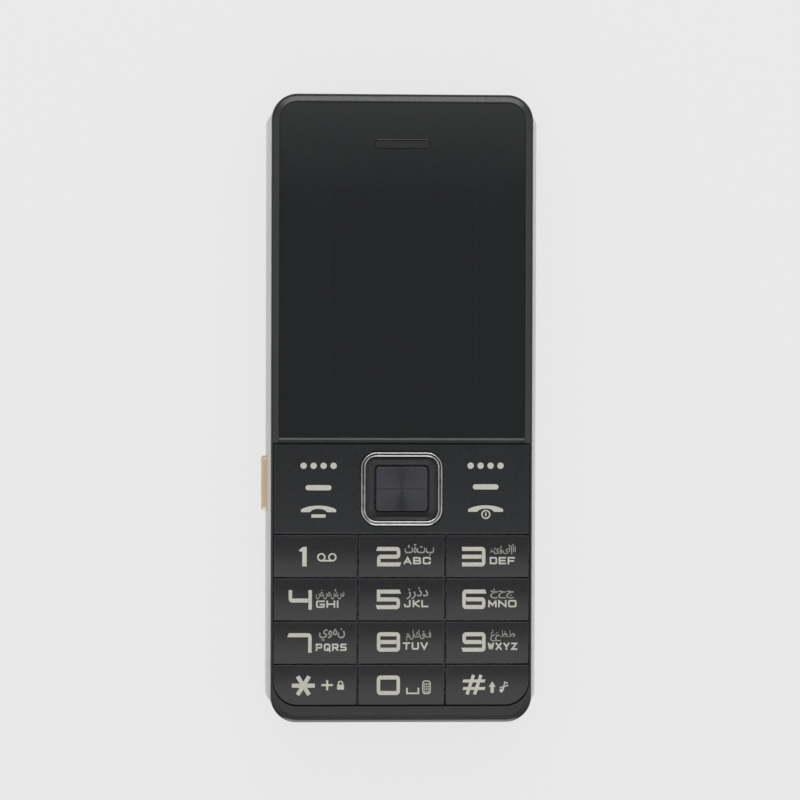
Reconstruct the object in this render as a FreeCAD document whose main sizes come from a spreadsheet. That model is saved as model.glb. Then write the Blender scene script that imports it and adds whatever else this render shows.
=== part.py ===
import FreeCAD, Part
import math
import os
from types import SimpleNamespace

import Sketcher
from FreeCAD import Vector

# Bar phone lying on its back, in millimetres. X runs to the right as the keys are read, Y towards
# the earpiece, Z out of the screen. The origin is the centre of the back face.

SIZES = {
    # housings
    "thickness": 13.55,
    "housing_length": 120.5,
    "housing_width": 50.2,
    "corner_radius": 5.0,
    "wall": 1.2,
    "back_round": 1.6,
    "rim_slope_width": 1.45,
    "rim_slope_drop": 0.59,
    "rim_round": 0.9,
    "part_level": 5.0,
    "fit_gap": 0.1,
    # screen lens and display
    "lens_side_border": 1.6,
    "lens_border": 1.7,
    "lens_gap": 0.02,
    "lens_edge": 0.05,
    "lens_corner": 3.3,
    "lens_thickness": 1.2,
    "lens_sink": 0.1,
    "adhesive_thickness": 0.15,
    "adhesive_width": 1.6,
    "skin": 0.6,
    "display_side_border": 10.8,
    "display_border": 17.25,
    "display_foot": 9.57,
    "panel_thickness": 1.2,
    "panel_side": 2.7,
    "panel_top": 2.4,
    "panel_ledge": 5.2,
    "backlight_thickness": 1.3,
    "backlight_edge": 0.3,
    "ribbon_width": 12.0,
    "ribbon_thickness": 0.2,
    "ribbon_length": 4.2,
    # earpiece
    "ear_slot_width": 10.75,
    "ear_slot_length": 1.7,
    "ear_border": 9.65,
    "ear_hole_width": 9.55,
    "ear_hole_length": 1.1,
    "ear_mesh_corner": 0.595,
    "ear_width": 12.0,
    "ear_length": 6.0,
    "ear_height": 2.6,
    # main board
    "board_level": 7.9,
    "board_thickness": 0.8,
    "board_side_gap": 0.6,
    "board_top_border": 1.65,
    "board_low_border": 4.05,
    "board_corner": 2.5,
    # keys
    "bar_width": 1.0,
    "bar_slope_width": 0.45,
    "bar_slope_drop": 0.2,
    "plate_length": 17.3,
    "plate_foot_pitch": 8.65,
    "key_side_border": 0.6,
    "chin_border": 3.33,
    "middle_key_width": 16.55,
    "row_pitch": 8.3,
    "last_row_length": 7.75,
    "key_gap": 0.25,
    "key_clearance": 0.15,
    "key_edge_level": 13.25,
    "key_crown": 0.1,
    "key_edge_round": 0.18,
    "key_corner": 4.6,
    "key_travel": 0.3,
    "ledge_level": 11.5,
    "ledge_thickness": 0.5,
    "ledge_width": 1.7,
    "foot_width": 9.0,
    "foot_length": 3.4,
    "last_foot_shift": 1.2,
    "plate_edge": 0.2,
    "mat_thickness": 0.4,
    "mat_rim_width": 0.9,
    "mat_corner": 2.3,
    "plunger_radius": 1.0,
    "dome_radius": 2.0,
    "dome_top_radius": 1.1,
    "dome_height": 0.3,
    "dome_gap": 0.05,
    "film_thickness": 0.1,
    "film_corner": 1.5,
    "led_length": 1.6,
    "led_width": 0.8,
    "led_height": 0.5,
    # navigation key
    "ring_width": 15.55,
    "ring_length": 14.0,
    "ring_corner": 3.0,
    "ring_band": 0.8,
    "ring_level": 13.5,
    "ring_round": 0.2,
    "ring_border": 0.3,
    "nav_gap": 0.15,
    "nav_outer_level": 12.45,
    "nav_inner_level": 13.0,
    "ok_width": 9.9,
    "ok_length": 8.5,
    "ok_corner": 0.6,
    "ok_gap": 0.2,
    "ok_level": 13.15,
    "ok_edge": 0.2,
    "direction_dome_x": 5.9,
    "direction_dome_y": 5.2,
    "direction_dome_radius": 1.5,
    # side trims and side key
    "trim_low": 5.4,
    "trim_high": 9.4,
    "trim_bulge": 1.05,
    "trim_depth": 0.5,
    "trim_border": 3.5,
    "trim_taper": 1.6,
    "trim_gap": 0.05,
    "side_key_length": 10.6,
    "side_key_height": 2.3,
    "side_key_border": 74.75,
    "side_key_proud": 0.85,
    "side_key_round": 0.425,
    "side_key_stem": 0.4,
    "side_key_gap": 0.1,
    "side_key_flange": 0.4,
    "side_key_ear": 1.0,
    "side_key_travel": 0.4,
    "switch_width": 1.8,
    "switch_length": 5.0,
    "switch_height": 1.5,
    # rear housing, cover and battery
    "cover_end_border": 30.25,
    "cover_skin": 1.1,
    "cover_gap": 0.05,
    "tab_width": 0.5,
    "tab_height": 0.6,
    "tab_length": 8.0,
    "tab_pitch": 28.0,
    "tab_level": 3.5,
    "grip_pitch": 2.0,
    "grip_width": 0.8,
    "grip_length": 16.0,
    "grip_depth": 0.25,
    "grip_border": 6.4,
    "deck_level": 5.4,
    "deck_thickness": 0.8,
    "battery_side_border": 4.1,
    "battery_thickness": 4.1,
    "battery_round": 0.8,
    "battery_gap": 0.2,
    "bay_border": 9.9,
    "bay_rib": 1.2,
    # screws
    "screw_radius": 0.8,
    "screw_head_radius": 1.5,
    "screw_head_height": 0.8,
    "screw_length": 5.2,
    "screw_recess": 0.4,
    "recess_length": 1.6,
    "recess_width": 0.4,
    "boss_radius": 1.7,
    "screw_side_border": 5.7,
    "upper_screw_border": 35.05,
    "lower_screw_border": 4.65,
    "screw_gap": 0.05,
    # headset jack, charging socket and microphone
    "plug_bore_radius": 1.85,
    "plug_bore_length": 13.4,
    "jack_width": 6.0,
    "jack_height": 4.6,
    "jack_nose_radius": 2.25,
    "jack_x": -14.0,
    "socket_level": 8.6,
    "usb_x": 13.0,
    "usb_width": 7.6,
    "usb_height": 2.6,
    "usb_length": 5.2,
    "usb_shell": 0.3,
    "usb_tongue": 0.7,
    "mic_x": 6.0,
    "mic_radius": 1.9,
    "mic_length": 1.4,
    "mic_boot_wall": 0.4,
    "mic_port_radius": 0.5,
    # behind the camera end
    "speaker_side_border": 4.6,
    "speaker_border": 19.75,
    "speaker_width": 18.0,
    "speaker_length": 12.0,
    "speaker_height": 3.2,
    "mesh_thickness": 0.3,
    "mesh_width": 14.0,
    "mesh_length": 8.0,
    "sound_slot_length": 10.0,
    "sound_slot_width": 0.8,
    "sound_slot_pitch": 1.6,
    "camera_border": 9.5,
    "camera_width": 8.0,
    "camera_height": 3.0,
    "barrel_radius": 2.8,
    "barrel_height": 1.3,
    "pupil_radius": 1.3,
    "camera_hole_radius": 2.2,
    "window_radius": 3.3,
    "window_thickness": 0.6,
    "window_sink": 0.1,
    "torch_x": 8.5,
    "torch_radius": 1.8,
    "torch_flange": 0.6,
    "torch_flange_height": 0.6,
    "torch_led_width": 3.4,
    "torch_led_height": 1.9,
    "motor_x": 4.0,
    "motor_border": 25.25,
    "motor_radius": 2.0,
    "motor_length": 8.0,
    "shaft_radius": 0.4,
    "shaft_length": 2.5,
    "shaft_gap": 0.05,
    "weight_gap": 0.4,
    "weight_length": 3.4,
    # electronics under the board
    "sim_side_border": 6.1,
    "sim_middle_gap": 4.0,
    "sim_drop": 31.1,
    "sim_length": 16.0,
    "card_x": -11.5,
    "card_drop": 49.1,
    "card_width": 14.0,
    "card_length": 14.5,
    "processor_x": -9.0,
    "processor_drop": 8.1,
    "processor_width": 22.0,
    "processor_length": 16.0,
    "radio_x": 9.0,
    "radio_drop": 50.1,
    "radio_width": 18.0,
    "radio_length": 14.0,
    "cell_x": 12.0,
    "cell_drop": 8.1,
    "can_height": 1.5,
    "can_wall": 0.2,
    "chip_width": 10.0,
    "chip_height": 1.0,
    "holder_wall": 0.2,
    "holder_slot": 0.9,
    "clock_cell_radius": 2.4,
    "clock_cell_height": 1.2,
    "connector_width": 8.0,
    "connector_length": 3.0,
    "connector_low": 2.4,
    "antenna_border": 8.25,
    "antenna_length": 12.4,
    "antenna_width": 33.0,
    "antenna_height": 3.6,
    "antenna_round": 1.5,
}

doc = FreeCAD.newDocument("bar_phone")
sheet = doc.addObject("Spreadsheet::Sheet", "Sizes")
nodes = []


class Size:
    # A length: its number, and the sheet formula that the document keeps for it
    def __init__(self, number, formula):
        self.number = number
        self.formula = formula

    def joined(self, other, sign, number):
        return Size(number, f"({self.formula} {sign} {other.formula})")

    def __add__(self, other):
        other = as_size(other)
        return self.joined(other, "+", self.number + other.number)

    def __sub__(self, other):
        other = as_size(other)
        return self.joined(other, "-", self.number - other.number)

    def __mul__(self, other):
        other = as_size(other)
        return self.joined(other, "*", self.number * other.number)

    def __truediv__(self, other):
        other = as_size(other)
        return self.joined(other, "/", self.number / other.number)

    def __neg__(self):
        return Size(-self.number, f"(0 - {self.formula})")

    def __rsub__(self, other):
        return as_size(other) - self


def as_size(value):
    return value if isinstance(value, Size) else Size(float(value), f"{value}")


def fill_sheet():
    for row, (name, number) in enumerate(SIZES.items(), 1):
        sheet.set(f"A{row}", name)
        sheet.set(f"B{row}", str(number))
        sheet.setAlias(f"B{row}", name)
    doc.recompute()
    return SimpleNamespace(**{name: Size(number, f"Sizes.{name}") for name, number in SIZES.items()})


size = fill_sheet()
zero = as_size(0)


# Sketched bodies

def new_body(label):
    body = doc.addObject("PartDesign::Body", label)
    body.Label = label
    nodes.append(body)
    return body


def new_sketch(body, name, role, offset):
    sketch = body.newObject("Sketcher::SketchObject", f"{body.Label}_{name}")
    origin_plane = next(part for part in body.Origin.OriginFeatures if part.Role == role)
    sketch.AttachmentSupport = [(origin_plane, "")]
    sketch.MapMode = "FlatFace"
    sketch.setExpression("AttachmentOffset.Base.z", offset.formula)
    return sketch


def tie(sketch, kind, target, value):
    # A dimension from the sketch's origin, or of one arc, driven by the sheet
    number = value.number
    if kind == "Radius":
        index = sketch.addConstraint(Sketcher.Constraint(kind, target, number))
    else:
        index = sketch.addConstraint(Sketcher.Constraint(kind, -1, 1, *target, number))
    sketch.setExpression(f"Constraints[{index}]", value.formula)


def rectangle(left, right, low, high, radii=(None, None, None, None)):
    # Sides in order low, right, high, left; corners anticlockwise from low left, square where None
    left, right, low, high = (as_size(value) for value in (left, right, low, high))

    def draw(sketch):
        inset = [radius.number if radius else 0.0 for radius in radii]
        x0, x1, y0, y1 = left.number, right.number, low.number, high.number
        ends = [
            ((x0 + inset[0], y0), (x1 - inset[1], y0)),
            ((x1, y0 + inset[1]), (x1, y1 - inset[2])),
            ((x1 - inset[2], y1), (x0 + inset[3], y1)),
            ((x0, y1 - inset[3]), (x0, y0 + inset[0])),
        ]
        sides = [sketch.addGeometry(Part.LineSegment(Vector(*a), Vector(*b))) for a, b in ends]
        for index, side in enumerate(sides):
            direction = "Horizontal" if index % 2 == 0 else "Vertical"
            sketch.addConstraint(Sketcher.Constraint(direction, side))
        corners = [(x0, y0, 1, 1), (x1, y0, -1, 1), (x1, y1, -1, -1), (x0, y1, 1, -1)]
        for index, (x, y, toward_x, toward_y) in enumerate(corners):
            before, after = sides[index - 1], sides[index]
            if not radii[index]:
                sketch.addConstraint(Sketcher.Constraint("Coincident", before, 2, after, 1))
                continue
            centre = Vector(x + toward_x * inset[index], y + toward_y * inset[index])
            circle = Part.Circle(centre, Vector(0, 0, 1), inset[index])
            start = math.radians(180 + 90 * index)
            arc = sketch.addGeometry(Part.ArcOfCircle(circle, start, start + math.pi / 2))
            sketch.addConstraint(Sketcher.Constraint("Tangent", before, 2, arc, 1))
            sketch.addConstraint(Sketcher.Constraint("Tangent", arc, 2, after, 1))
            tie(sketch, "Radius", arc, radii[index])
        tie(sketch, "DistanceY", (sides[0], 1), low)
        tie(sketch, "DistanceX", (sides[1], 1), right)
        tie(sketch, "DistanceY", (sides[2], 1), high)
        tie(sketch, "DistanceX", (sides[3], 1), left)

    return draw


def circle(x, y, radius):
    x, y = as_size(x), as_size(y)

    def draw(sketch):
        centre = Vector(x.number, y.number)
        index = sketch.addGeometry(Part.Circle(centre, Vector(0, 0, 1), radius.number))
        tie(sketch, "Radius", index, radius)
        tie(sketch, "DistanceX", (index, 3), x)
        tie(sketch, "DistanceY", (index, 3), y)

    return draw


def polygon(points, arcs=()):
    # Corners in order; a side named in arcs bows out through the middle point given for it
    points = [(as_size(x), as_size(y)) for x, y in points]
    arcs = dict(arcs)

    def draw(sketch):
        numbers = [Vector(x.number, y.number) for x, y in points]
        sides = []
        for index, start in enumerate(numbers):
            finish = numbers[(index + 1) % len(numbers)]
            if index in arcs:
                x, y = arcs[index]
                middle = Vector(x.number, y.number)
                sides.append(sketch.addGeometry(Part.Arc(start, middle, finish)))
            else:
                sides.append(sketch.addGeometry(Part.LineSegment(start, finish)))
        # An arc that bows the other way keeps its two ends swapped
        tips = [arc_tips(sketch, side, numbers[index]) for index, side in enumerate(sides)]
        for index, side in enumerate(sides):
            previous = index - 1
            joint = (sides[previous], tips[previous][1], side, tips[index][0])
            sketch.addConstraint(Sketcher.Constraint("Coincident", *joint))
            tie(sketch, "DistanceX", (side, tips[index][0]), points[index][0])
            tie(sketch, "DistanceY", (side, tips[index][0]), points[index][1])
        for index, (x, y) in arcs.items():
            middle = sketch.addGeometry(Part.Point(Vector(x.number, y.number)), True)
            sketch.addConstraint(Sketcher.Constraint("PointOnObject", middle, 1, sides[index]))
            tie(sketch, "DistanceX", (middle, 1), x)
            tie(sketch, "DistanceY", (middle, 1), y)

    return draw


def arc_tips(sketch, side, start):
    first = sketch.getPoint(side, 1)
    return (1, 2) if (first - start).Length < 1e-6 else (2, 1)


def swept(body, kind, name, low, high, shapes, role):
    # The sketch lies at the end that the feature starts from, so that it spans low to high
    low, high = as_size(low), as_size(high)
    adds = kind == "PartDesign::Pad"
    if role == "XZ_Plane":
        start = -high if adds else -low
    else:
        start = low if adds else high
    sketch = new_sketch(body, f"{name}_sketch", role, start)
    for shape in shapes:
        shape(sketch)
    feature = body.newObject(kind, f"{body.Label}_{name}")
    feature.Profile = sketch
    feature.setExpression("Length", (high - low).formula)
    return feature


def add(body, name, low, high, *shapes, role="XY_Plane"):
    return swept(body, "PartDesign::Pad", name, low, high, shapes, role)


def cut(body, name, low, high, *shapes, role="XY_Plane"):
    return swept(body, "PartDesign::Pocket", name, low, high, shapes, role)


def dress(body, kind, name, chosen, **lengths):
    # A fillet or chamfer on the edges of the last feature that the test chooses
    doc.recompute()
    base = body.Tip
    edges = [f"Edge{index}" for index, edge in enumerate(base.Shape.Edges, 1) if chosen(edge.BoundBox)]
    if not edges:
        raise ValueError(f"{body.Label}: no edge for {name}")
    feature = body.newObject(f"PartDesign::{kind}", f"{body.Label}_{name}")
    feature.Base = (base, edges)
    if "Size2" in lengths:
        feature.ChamferType = "Two distances"
    for key, value in lengths.items():
        feature.setExpression(key, value.formula)
    return feature


def close(first, second):
    return abs(first - second) < 1e-4


def flat_at(level):
    return lambda box: close(box.ZMin, level.number) and close(box.ZMax, level.number)


# Plain solids

def place(solid, x, y, z):
    for axis, value in zip("xyz", (x, y, z)):
        solid.setExpression(f"Placement.Base.{axis}", as_size(value).formula)


def block(label, x, y, z):
    # x, y and z are each a lower and an upper level
    spans = [(as_size(low), as_size(high)) for low, high in (x, y, z)]
    solid = doc.addObject("Part::Box", label)
    for key, (low, high) in zip(("Length", "Width", "Height"), spans):
        solid.setExpression(key, (high - low).formula)
    place(solid, *(low for low, high in spans))
    return solid


def span(middle, half):
    return middle - half, middle + half


TURNS = {
    "X": FreeCAD.Rotation(Vector(0, 1, 0), 90),
    "Y": FreeCAD.Rotation(Vector(1, 0, 0), -90),
    "Z": FreeCAD.Rotation(),
}


def rod(label, start, radius, length, axis="Z"):
    solid = doc.addObject("Part::Cylinder", label)
    solid.Placement = FreeCAD.Placement(Vector(), TURNS[axis])
    solid.setExpression("Radius", radius.formula)
    solid.setExpression("Height", as_size(length).formula)
    place(solid, *start)
    return solid


def less(label, base, *tools):
    # The base with the tools taken away
    for index, tool in enumerate(tools):
        last = index == len(tools) - 1
        result = doc.addObject("Part::Cut", label if last else f"{label}_less_{index}")
        result.Base = base
        result.Tool = tool
        base = result
    return base


def joined(label, *solids):
    result = doc.addObject("Part::MultiFuse", label)
    result.Shapes = list(solids)
    return result


def grouped(label, solids):
    result = doc.addObject("Part::Compound", label)
    result.Links = list(solids)
    return result


def keep(label, solid):
    solid.Label = label
    nodes.append(solid)
    return solid


# Shared levels and places

half_width = size.housing_width / 2
half_length = size.housing_length / 2
inner_half_width = half_width - size.wall
inner_half_length = half_length - size.wall
inner_corner = size.corner_radius - size.wall

lens_half_width = half_width - size.lens_side_border
lens_top = half_length - size.lens_border
lens_front = size.thickness - size.lens_sink
lens_back = lens_front - size.lens_thickness
seat_level = lens_back - size.adhesive_thickness
skin_back = seat_level - size.skin
display_half_width = half_width - size.display_side_border
ear_y = half_length - size.ear_border

board_top = size.board_level + size.board_thickness
panel_back = board_top + size.backlight_thickness
panel_front = panel_back + size.panel_thickness
board_half_width = inner_half_width - size.board_side_gap

# The keys stand on the chin, and the lens and the display take the length that is left
half_field = half_width - size.key_side_border
recess_half_width = half_field + size.key_clearance
keys_low = size.chin_border - half_length
keys_high = keys_low + size.last_row_length + size.row_pitch * 3
plate_low = keys_high + size.key_gap
plate_high = plate_low + size.plate_length
recess_low = keys_low - size.key_clearance
recess_high = plate_high + size.key_clearance
lens_bottom = recess_high + size.bar_width
display_top = half_length - size.display_border
display_bottom = lens_bottom + size.display_foot
panel_half_width = display_half_width + size.panel_side
panel_high = display_top + size.panel_top
panel_low = display_bottom - size.panel_ledge
cap_bottom = size.ledge_level + size.key_travel + size.fit_gap
mat_top = size.ledge_level - size.ledge_thickness
mat_bottom = mat_top - size.mat_thickness
film_top = board_top + size.film_thickness
dome_top = film_top + size.dome_height
opening_half_width = recess_half_width - size.ledge_width
opening_high = recess_high - size.ledge_width
opening_low = recess_low + size.ledge_width
nav_y = (plate_high + plate_low) / 2
column_x = (half_field * 2 + size.middle_key_width) / 4 + size.key_gap / 2

trim_middle = (size.trim_low + size.trim_high) / 2
trim_half_length = half_length - size.trim_border
side_key_y = half_length - size.side_key_border
deck_top = size.deck_level + size.deck_thickness
cover_end = half_length - size.cover_end_border
cover_top = size.part_level - size.fit_gap
frame_half_width = inner_half_width - size.fit_gap
frame_half_length = inner_half_length - size.fit_gap
frame_corner = inner_corner - size.fit_gap

# The battery fills its bay between the camera end and the antenna
battery_half_width = half_width - size.battery_side_border
bay_half_width = battery_half_width + size.battery_gap
bay_high = cover_end - size.bay_border
battery_high = bay_high - size.battery_gap
antenna_low = size.antenna_border - half_length
antenna_high = antenna_low + size.antenna_length
bay_low = antenna_high + size.fit_gap + size.bay_rib
battery_low = bay_low + size.battery_gap
screw_x = half_width - size.screw_side_border
upper_screw_y = half_length - size.upper_screw_border
lower_screw_y = size.lower_screw_border - half_length
screw_places = [(x, y) for y in (upper_screw_y, lower_screw_y) for x in (-screw_x, screw_x)]

jack_back = half_length - size.plug_bore_length - size.wall / 2
usb_back = half_length - size.usb_length
switch_face = size.side_key_flange + size.side_key_travel * 2 + size.fit_gap * 2 - inner_half_width
camera_y = half_length - size.camera_border
speaker_x = size.speaker_width / 2 + size.speaker_side_border - half_width
speaker_y = half_length - size.speaker_border
motor_y = half_length - size.motor_border
motor_level = size.wall + size.motor_radius + size.shaft_gap
plate_level = size.key_edge_level + size.key_crown

# Every dome: twelve number keys, four on the plate, four directions and the middle one
rows = [
    (keys_high - size.row_pitch * row, keys_high - size.row_pitch * (row + 1)) for row in range(3)
] + [(keys_high - size.row_pitch * 3, keys_low)]
columns = [-column_x, zero, column_x]
foot_rows = [(high + low) / 2 for high, low in rows]
foot_rows[3] = foot_rows[3] + size.last_foot_shift
plate_foot_rows = [nav_y + size.plate_foot_pitch / 2, nav_y - size.plate_foot_pitch / 2]
key_domes = [(x, y) for y in foot_rows for x in columns]
plate_domes = [(x, y) for y in plate_foot_rows for x in (-column_x, column_x)]
direction_domes = [
    (zero, nav_y + size.direction_dome_y),
    (zero, nav_y - size.direction_dome_y),
    (-size.direction_dome_x, nav_y),
    (size.direction_dome_x, nav_y),
]
ok_dome = (zero, nav_y)
led_x = size.middle_key_width / 2
led_places = [(x, row[1]) for row in (rows[0], rows[2]) for x in (-led_x, led_x)]

sim_outer = half_width - size.sim_side_border
sim_inner = size.sim_middle_gap / 2
sim_x = (sim_outer + sim_inner) / 2
sim_width = sim_outer - sim_inner
sim_y = bay_high - size.sim_drop
card_y = bay_high - size.card_drop
holders = [
    SimpleNamespace(label="sim_holder_left", x=-sim_x, y=sim_y, width=sim_width, length=size.sim_length),
    SimpleNamespace(label="sim_holder_right", x=sim_x, y=sim_y, width=sim_width, length=size.sim_length),
    SimpleNamespace(label="memory_card_holder", x=size.card_x, y=card_y, width=size.card_width,
                    length=size.card_length),
]


def centred(half_x, half_y, radius=None):
    return rectangle(-half_x, half_x, -half_y, half_y, (radius,) * 4)


def about(x, y, width, length, radius=None):
    x, y = as_size(x), as_size(y)
    half_x, half_y = as_size(width) / 2, as_size(length) / 2
    return rectangle(x - half_x, x + half_x, y - half_y, y + half_y, (radius,) * 4)


def nearly_round(width):
    # A corner radius that leaves a short flat between two corners of a narrow end
    return width * 0.45


# Housings

def make_front_housing():
    body = new_body("front_housing")
    add(body, "outer", size.part_level, size.thickness, centred(half_width, half_length, size.corner_radius))
    rim = {"Size": size.rim_slope_drop, "Size2": size.rim_slope_width}
    dress(body, "Chamfer", "rim_slope", flat_at(size.thickness), **rim)
    shoulder = size.thickness - size.rim_slope_drop
    dress(body, "Fillet", "rim_round", flat_at(shoulder), Radius=size.rim_round)
    inside = centred(inner_half_width, inner_half_length, inner_corner)
    cut(body, "inside", size.part_level, mat_top, inside)
    display_room = rectangle(-inner_half_width, inner_half_width, lens_bottom, inner_half_length,
                             (None, None, inner_corner, inner_corner))
    cut(body, "display_room", mat_top, skin_back, display_room)
    lens_radius = size.lens_corner + size.lens_gap
    seat_half_width = lens_half_width + size.lens_gap
    seat_low = lens_bottom - size.lens_gap
    lens_seat = rectangle(-seat_half_width, seat_half_width, seat_low, lens_top + size.lens_gap,
                          (None, None, lens_radius, lens_radius))
    cut(body, "lens_seat", seat_level, size.thickness, lens_seat)
    display_hole = rectangle(-display_half_width, display_half_width, display_bottom, display_top)
    ear_hole = about(0, ear_y, size.ear_hole_width, size.ear_hole_length)
    cut(body, "windows", skin_back, seat_level, display_hole, ear_hole)
    key_radius = size.key_corner + size.key_clearance
    key_recess = rectangle(-recess_half_width, recess_half_width, recess_low, recess_high,
                           (key_radius, key_radius, None, None))
    cut(body, "key_recess", size.ledge_level, size.thickness, key_recess)
    key_hole = rectangle(-opening_half_width, opening_half_width, opening_low, opening_high,
                         (size.key_corner,) * 2 + (None, None))
    cut(body, "key_hole", mat_top, size.ledge_level, key_hole)
    bar_side = polygon([(seat_low, size.thickness), (seat_low - size.bar_slope_width, size.thickness),
                        (seat_low, size.thickness - size.bar_slope_drop)])
    cut(body, "bar_slope", -seat_half_width, seat_half_width, bar_side, role="YZ_Plane")
    upper_bosses = [circle(x, upper_screw_y, size.boss_radius) for x in (-screw_x, screw_x)]
    lower_bosses = [circle(x, lower_screw_y, size.boss_radius) for x in (-screw_x, screw_x)]
    add(body, "upper_bosses", deck_top, skin_back + size.skin / 2, *upper_bosses)
    add(body, "lower_bosses", deck_top, size.ledge_level, *lower_bosses)
    bore = size.screw_radius + size.screw_gap
    bore_top = size.deck_level + size.screw_length + size.screw_gap
    cut(body, "screw_bores", deck_top, bore_top, *[circle(x, y, bore) for x, y in screw_places])
    trim_room = [
        rectangle(half_width - size.trim_depth, half_width + size.wall, size.trim_low, size.trim_high),
        rectangle(-half_width - size.wall, size.trim_depth - half_width, size.trim_low, size.trim_high),
    ]
    cut(body, "trim_seats", -trim_half_length, trim_half_length, *trim_room, role="XZ_Plane")
    side_key_hole = about(side_key_y, trim_middle, size.side_key_length + size.side_key_gap * 2,
                          size.side_key_height + size.side_key_gap * 2)
    cut(body, "side_key_hole", -half_width, -inner_half_width, side_key_hole, role="YZ_Plane")
    jack_hole = circle(size.jack_x, size.socket_level, size.jack_nose_radius + size.fit_gap)
    usb_hole = about(size.usb_x, size.socket_level, size.usb_width + size.fit_gap * 2,
                     size.usb_height + size.fit_gap * 2)
    cut(body, "end_holes", inner_half_length, half_length, jack_hole, usb_hole, role="XZ_Plane")
    mic_hole = circle(size.mic_x, size.socket_level, size.mic_port_radius)
    cut(body, "mic_hole", -half_length, -inner_half_length, mic_hole, role="XZ_Plane")


def make_rear_housing():
    body = new_body("rear_housing")
    add(body, "shell", zero, size.part_level, centred(half_width, half_length, size.corner_radius))
    dress(body, "Fillet", "back_round", flat_at(zero), Radius=size.back_round)
    beyond = half_length + size.wall
    cover_zone = rectangle(-beyond, beyond, -beyond, cover_end)
    cut(body, "cover_zone", zero, size.part_level, cover_zone)
    frame_low = size.cover_skin + size.cover_gap
    frame = centred(frame_half_width, frame_half_length, frame_corner)
    add(body, "frame", frame_low, deck_top, frame)
    room_half_width = frame_half_width - size.wall
    room_high = frame_half_length - size.wall
    room = rectangle(-room_half_width, room_half_width, cover_end + size.wall, room_high,
                     (None, None, frame_corner - size.wall, frame_corner - size.wall))
    cut(body, "camera_room", size.wall, deck_top, room)
    bay = rectangle(-bay_half_width, bay_half_width, bay_low, bay_high)
    upper_bay = rectangle(-bay_half_width, bay_half_width, bay_high + size.bay_rib, cover_end - size.wall)
    lower_bay_low = size.wall - frame_half_length
    lower_bay = rectangle(-bay_half_width, bay_half_width, lower_bay_low, bay_low - size.bay_rib)
    cut(body, "bays", frame_low, size.deck_level, bay, upper_bay, lower_bay)
    connector_notch = about(0, bay_high + size.connector_length / 2 - size.fit_gap,
                            size.connector_width + size.fit_gap * 2, size.connector_length + size.fit_gap * 2)
    cut(body, "connector_notch", frame_low, deck_top, connector_notch)
    windows = [
        about(holder.x, holder.y, holder.width + size.fit_gap * 2, holder.length + size.fit_gap * 2)
        for holder in holders
    ]
    screw_holes = [circle(x, y, size.screw_radius + size.screw_gap) for x, y in screw_places]
    cut(body, "deck_windows", size.deck_level, deck_top, *windows, *screw_holes)
    groove_depth = size.tab_width + size.fit_gap
    groove_low = size.tab_level - size.fit_gap
    groove_high = size.tab_level + size.tab_height + size.fit_gap
    grooves = [
        rectangle(frame_half_width - groove_depth, frame_half_width + size.fit_gap, groove_low, groove_high),
        rectangle(-frame_half_width - size.fit_gap, groove_depth - frame_half_width, groove_low, groove_high),
    ]
    cut(body, "tab_grooves", -half_length, cover_end, *grooves, role="XZ_Plane")
    camera_hole = circle(0, camera_y, size.camera_hole_radius)
    torch_hole = circle(size.torch_x, camera_y, size.torch_radius + size.fit_gap)
    sound_slots = [
        about(speaker_x, speaker_y + size.sound_slot_pitch * step, size.sound_slot_length,
              size.sound_slot_width, nearly_round(size.sound_slot_width))
        for step in (-2, -1, 0, 1, 2)
    ]
    cut(body, "back_holes", zero, size.wall, camera_hole, torch_hole, *sound_slots)
    window_seat = circle(0, camera_y, size.window_radius + size.fit_gap)
    cut(body, "window_seat", zero, size.window_thickness + size.window_sink, window_seat)


def make_battery_cover():
    body = new_body("battery_cover")
    add(body, "outer", zero, cover_top, centred(half_width, half_length, size.corner_radius))
    dress(body, "Fillet", "back_round", flat_at(zero), Radius=size.back_round)
    beyond = half_length + size.wall
    camera_zone = rectangle(-beyond, beyond, cover_end - size.fit_gap, beyond)
    cut(body, "camera_zone", zero, cover_top, camera_zone)
    inside = rectangle(-inner_half_width, inner_half_width, -inner_half_length, beyond,
                       (inner_corner, inner_corner, None, None))
    cut(body, "inside", size.cover_skin, cover_top, inside)
    tab_high = size.tab_level + size.tab_height
    tabs = []
    for side in (-1, 1):
        for step in (-1, 0, 1):
            middle = (cover_end - half_length) / 2 + size.tab_pitch * step
            wall_x = (inner_half_width - size.tab_width / 2 + size.fit_gap) * side
            tabs.append(about(wall_x, middle, size.tab_width + size.fit_gap * 2, size.tab_length))
    add(body, "tabs", size.tab_level, tab_high, *tabs)
    grips = [
        about(0, size.grip_border - half_length + size.grip_pitch * step, size.grip_length,
              size.grip_width, nearly_round(size.grip_width))
        for step in range(5)
    ]
    cut(body, "grips", zero, size.grip_depth, *grips)


def make_trim(label, side):
    body = new_body(label)
    seat = (half_width - size.trim_depth) * side
    edge = half_width * side
    peak = (half_width + size.trim_bulge) * side
    low = size.trim_low + size.trim_gap
    high = size.trim_high - size.trim_gap
    section = polygon([(seat, low), (edge, low), (edge, high), (seat, high)], {1: (peak, trim_middle)})
    reach = trim_half_length - size.trim_gap
    add(body, "strip", -reach, reach, section, role="XZ_Plane")
    outside = (half_width + size.trim_bulge + size.wall) * side
    tapers = [
        polygon([(edge, reach * end), (outside, reach * end), (outside, (reach - size.trim_taper) * end),
                 (peak, (reach - size.trim_taper) * end)])
        for end in (-1, 1)
    ]
    cut(body, "end_tapers", size.trim_low, size.trim_high, *tapers)
    if side < 0:
        gap = size.side_key_gap
        hole = about(side_key_y, trim_middle, size.side_key_length + gap * 2, size.side_key_height + gap * 2)
        cut(body, "side_key_hole", outside, seat, hole, role="YZ_Plane")


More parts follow.
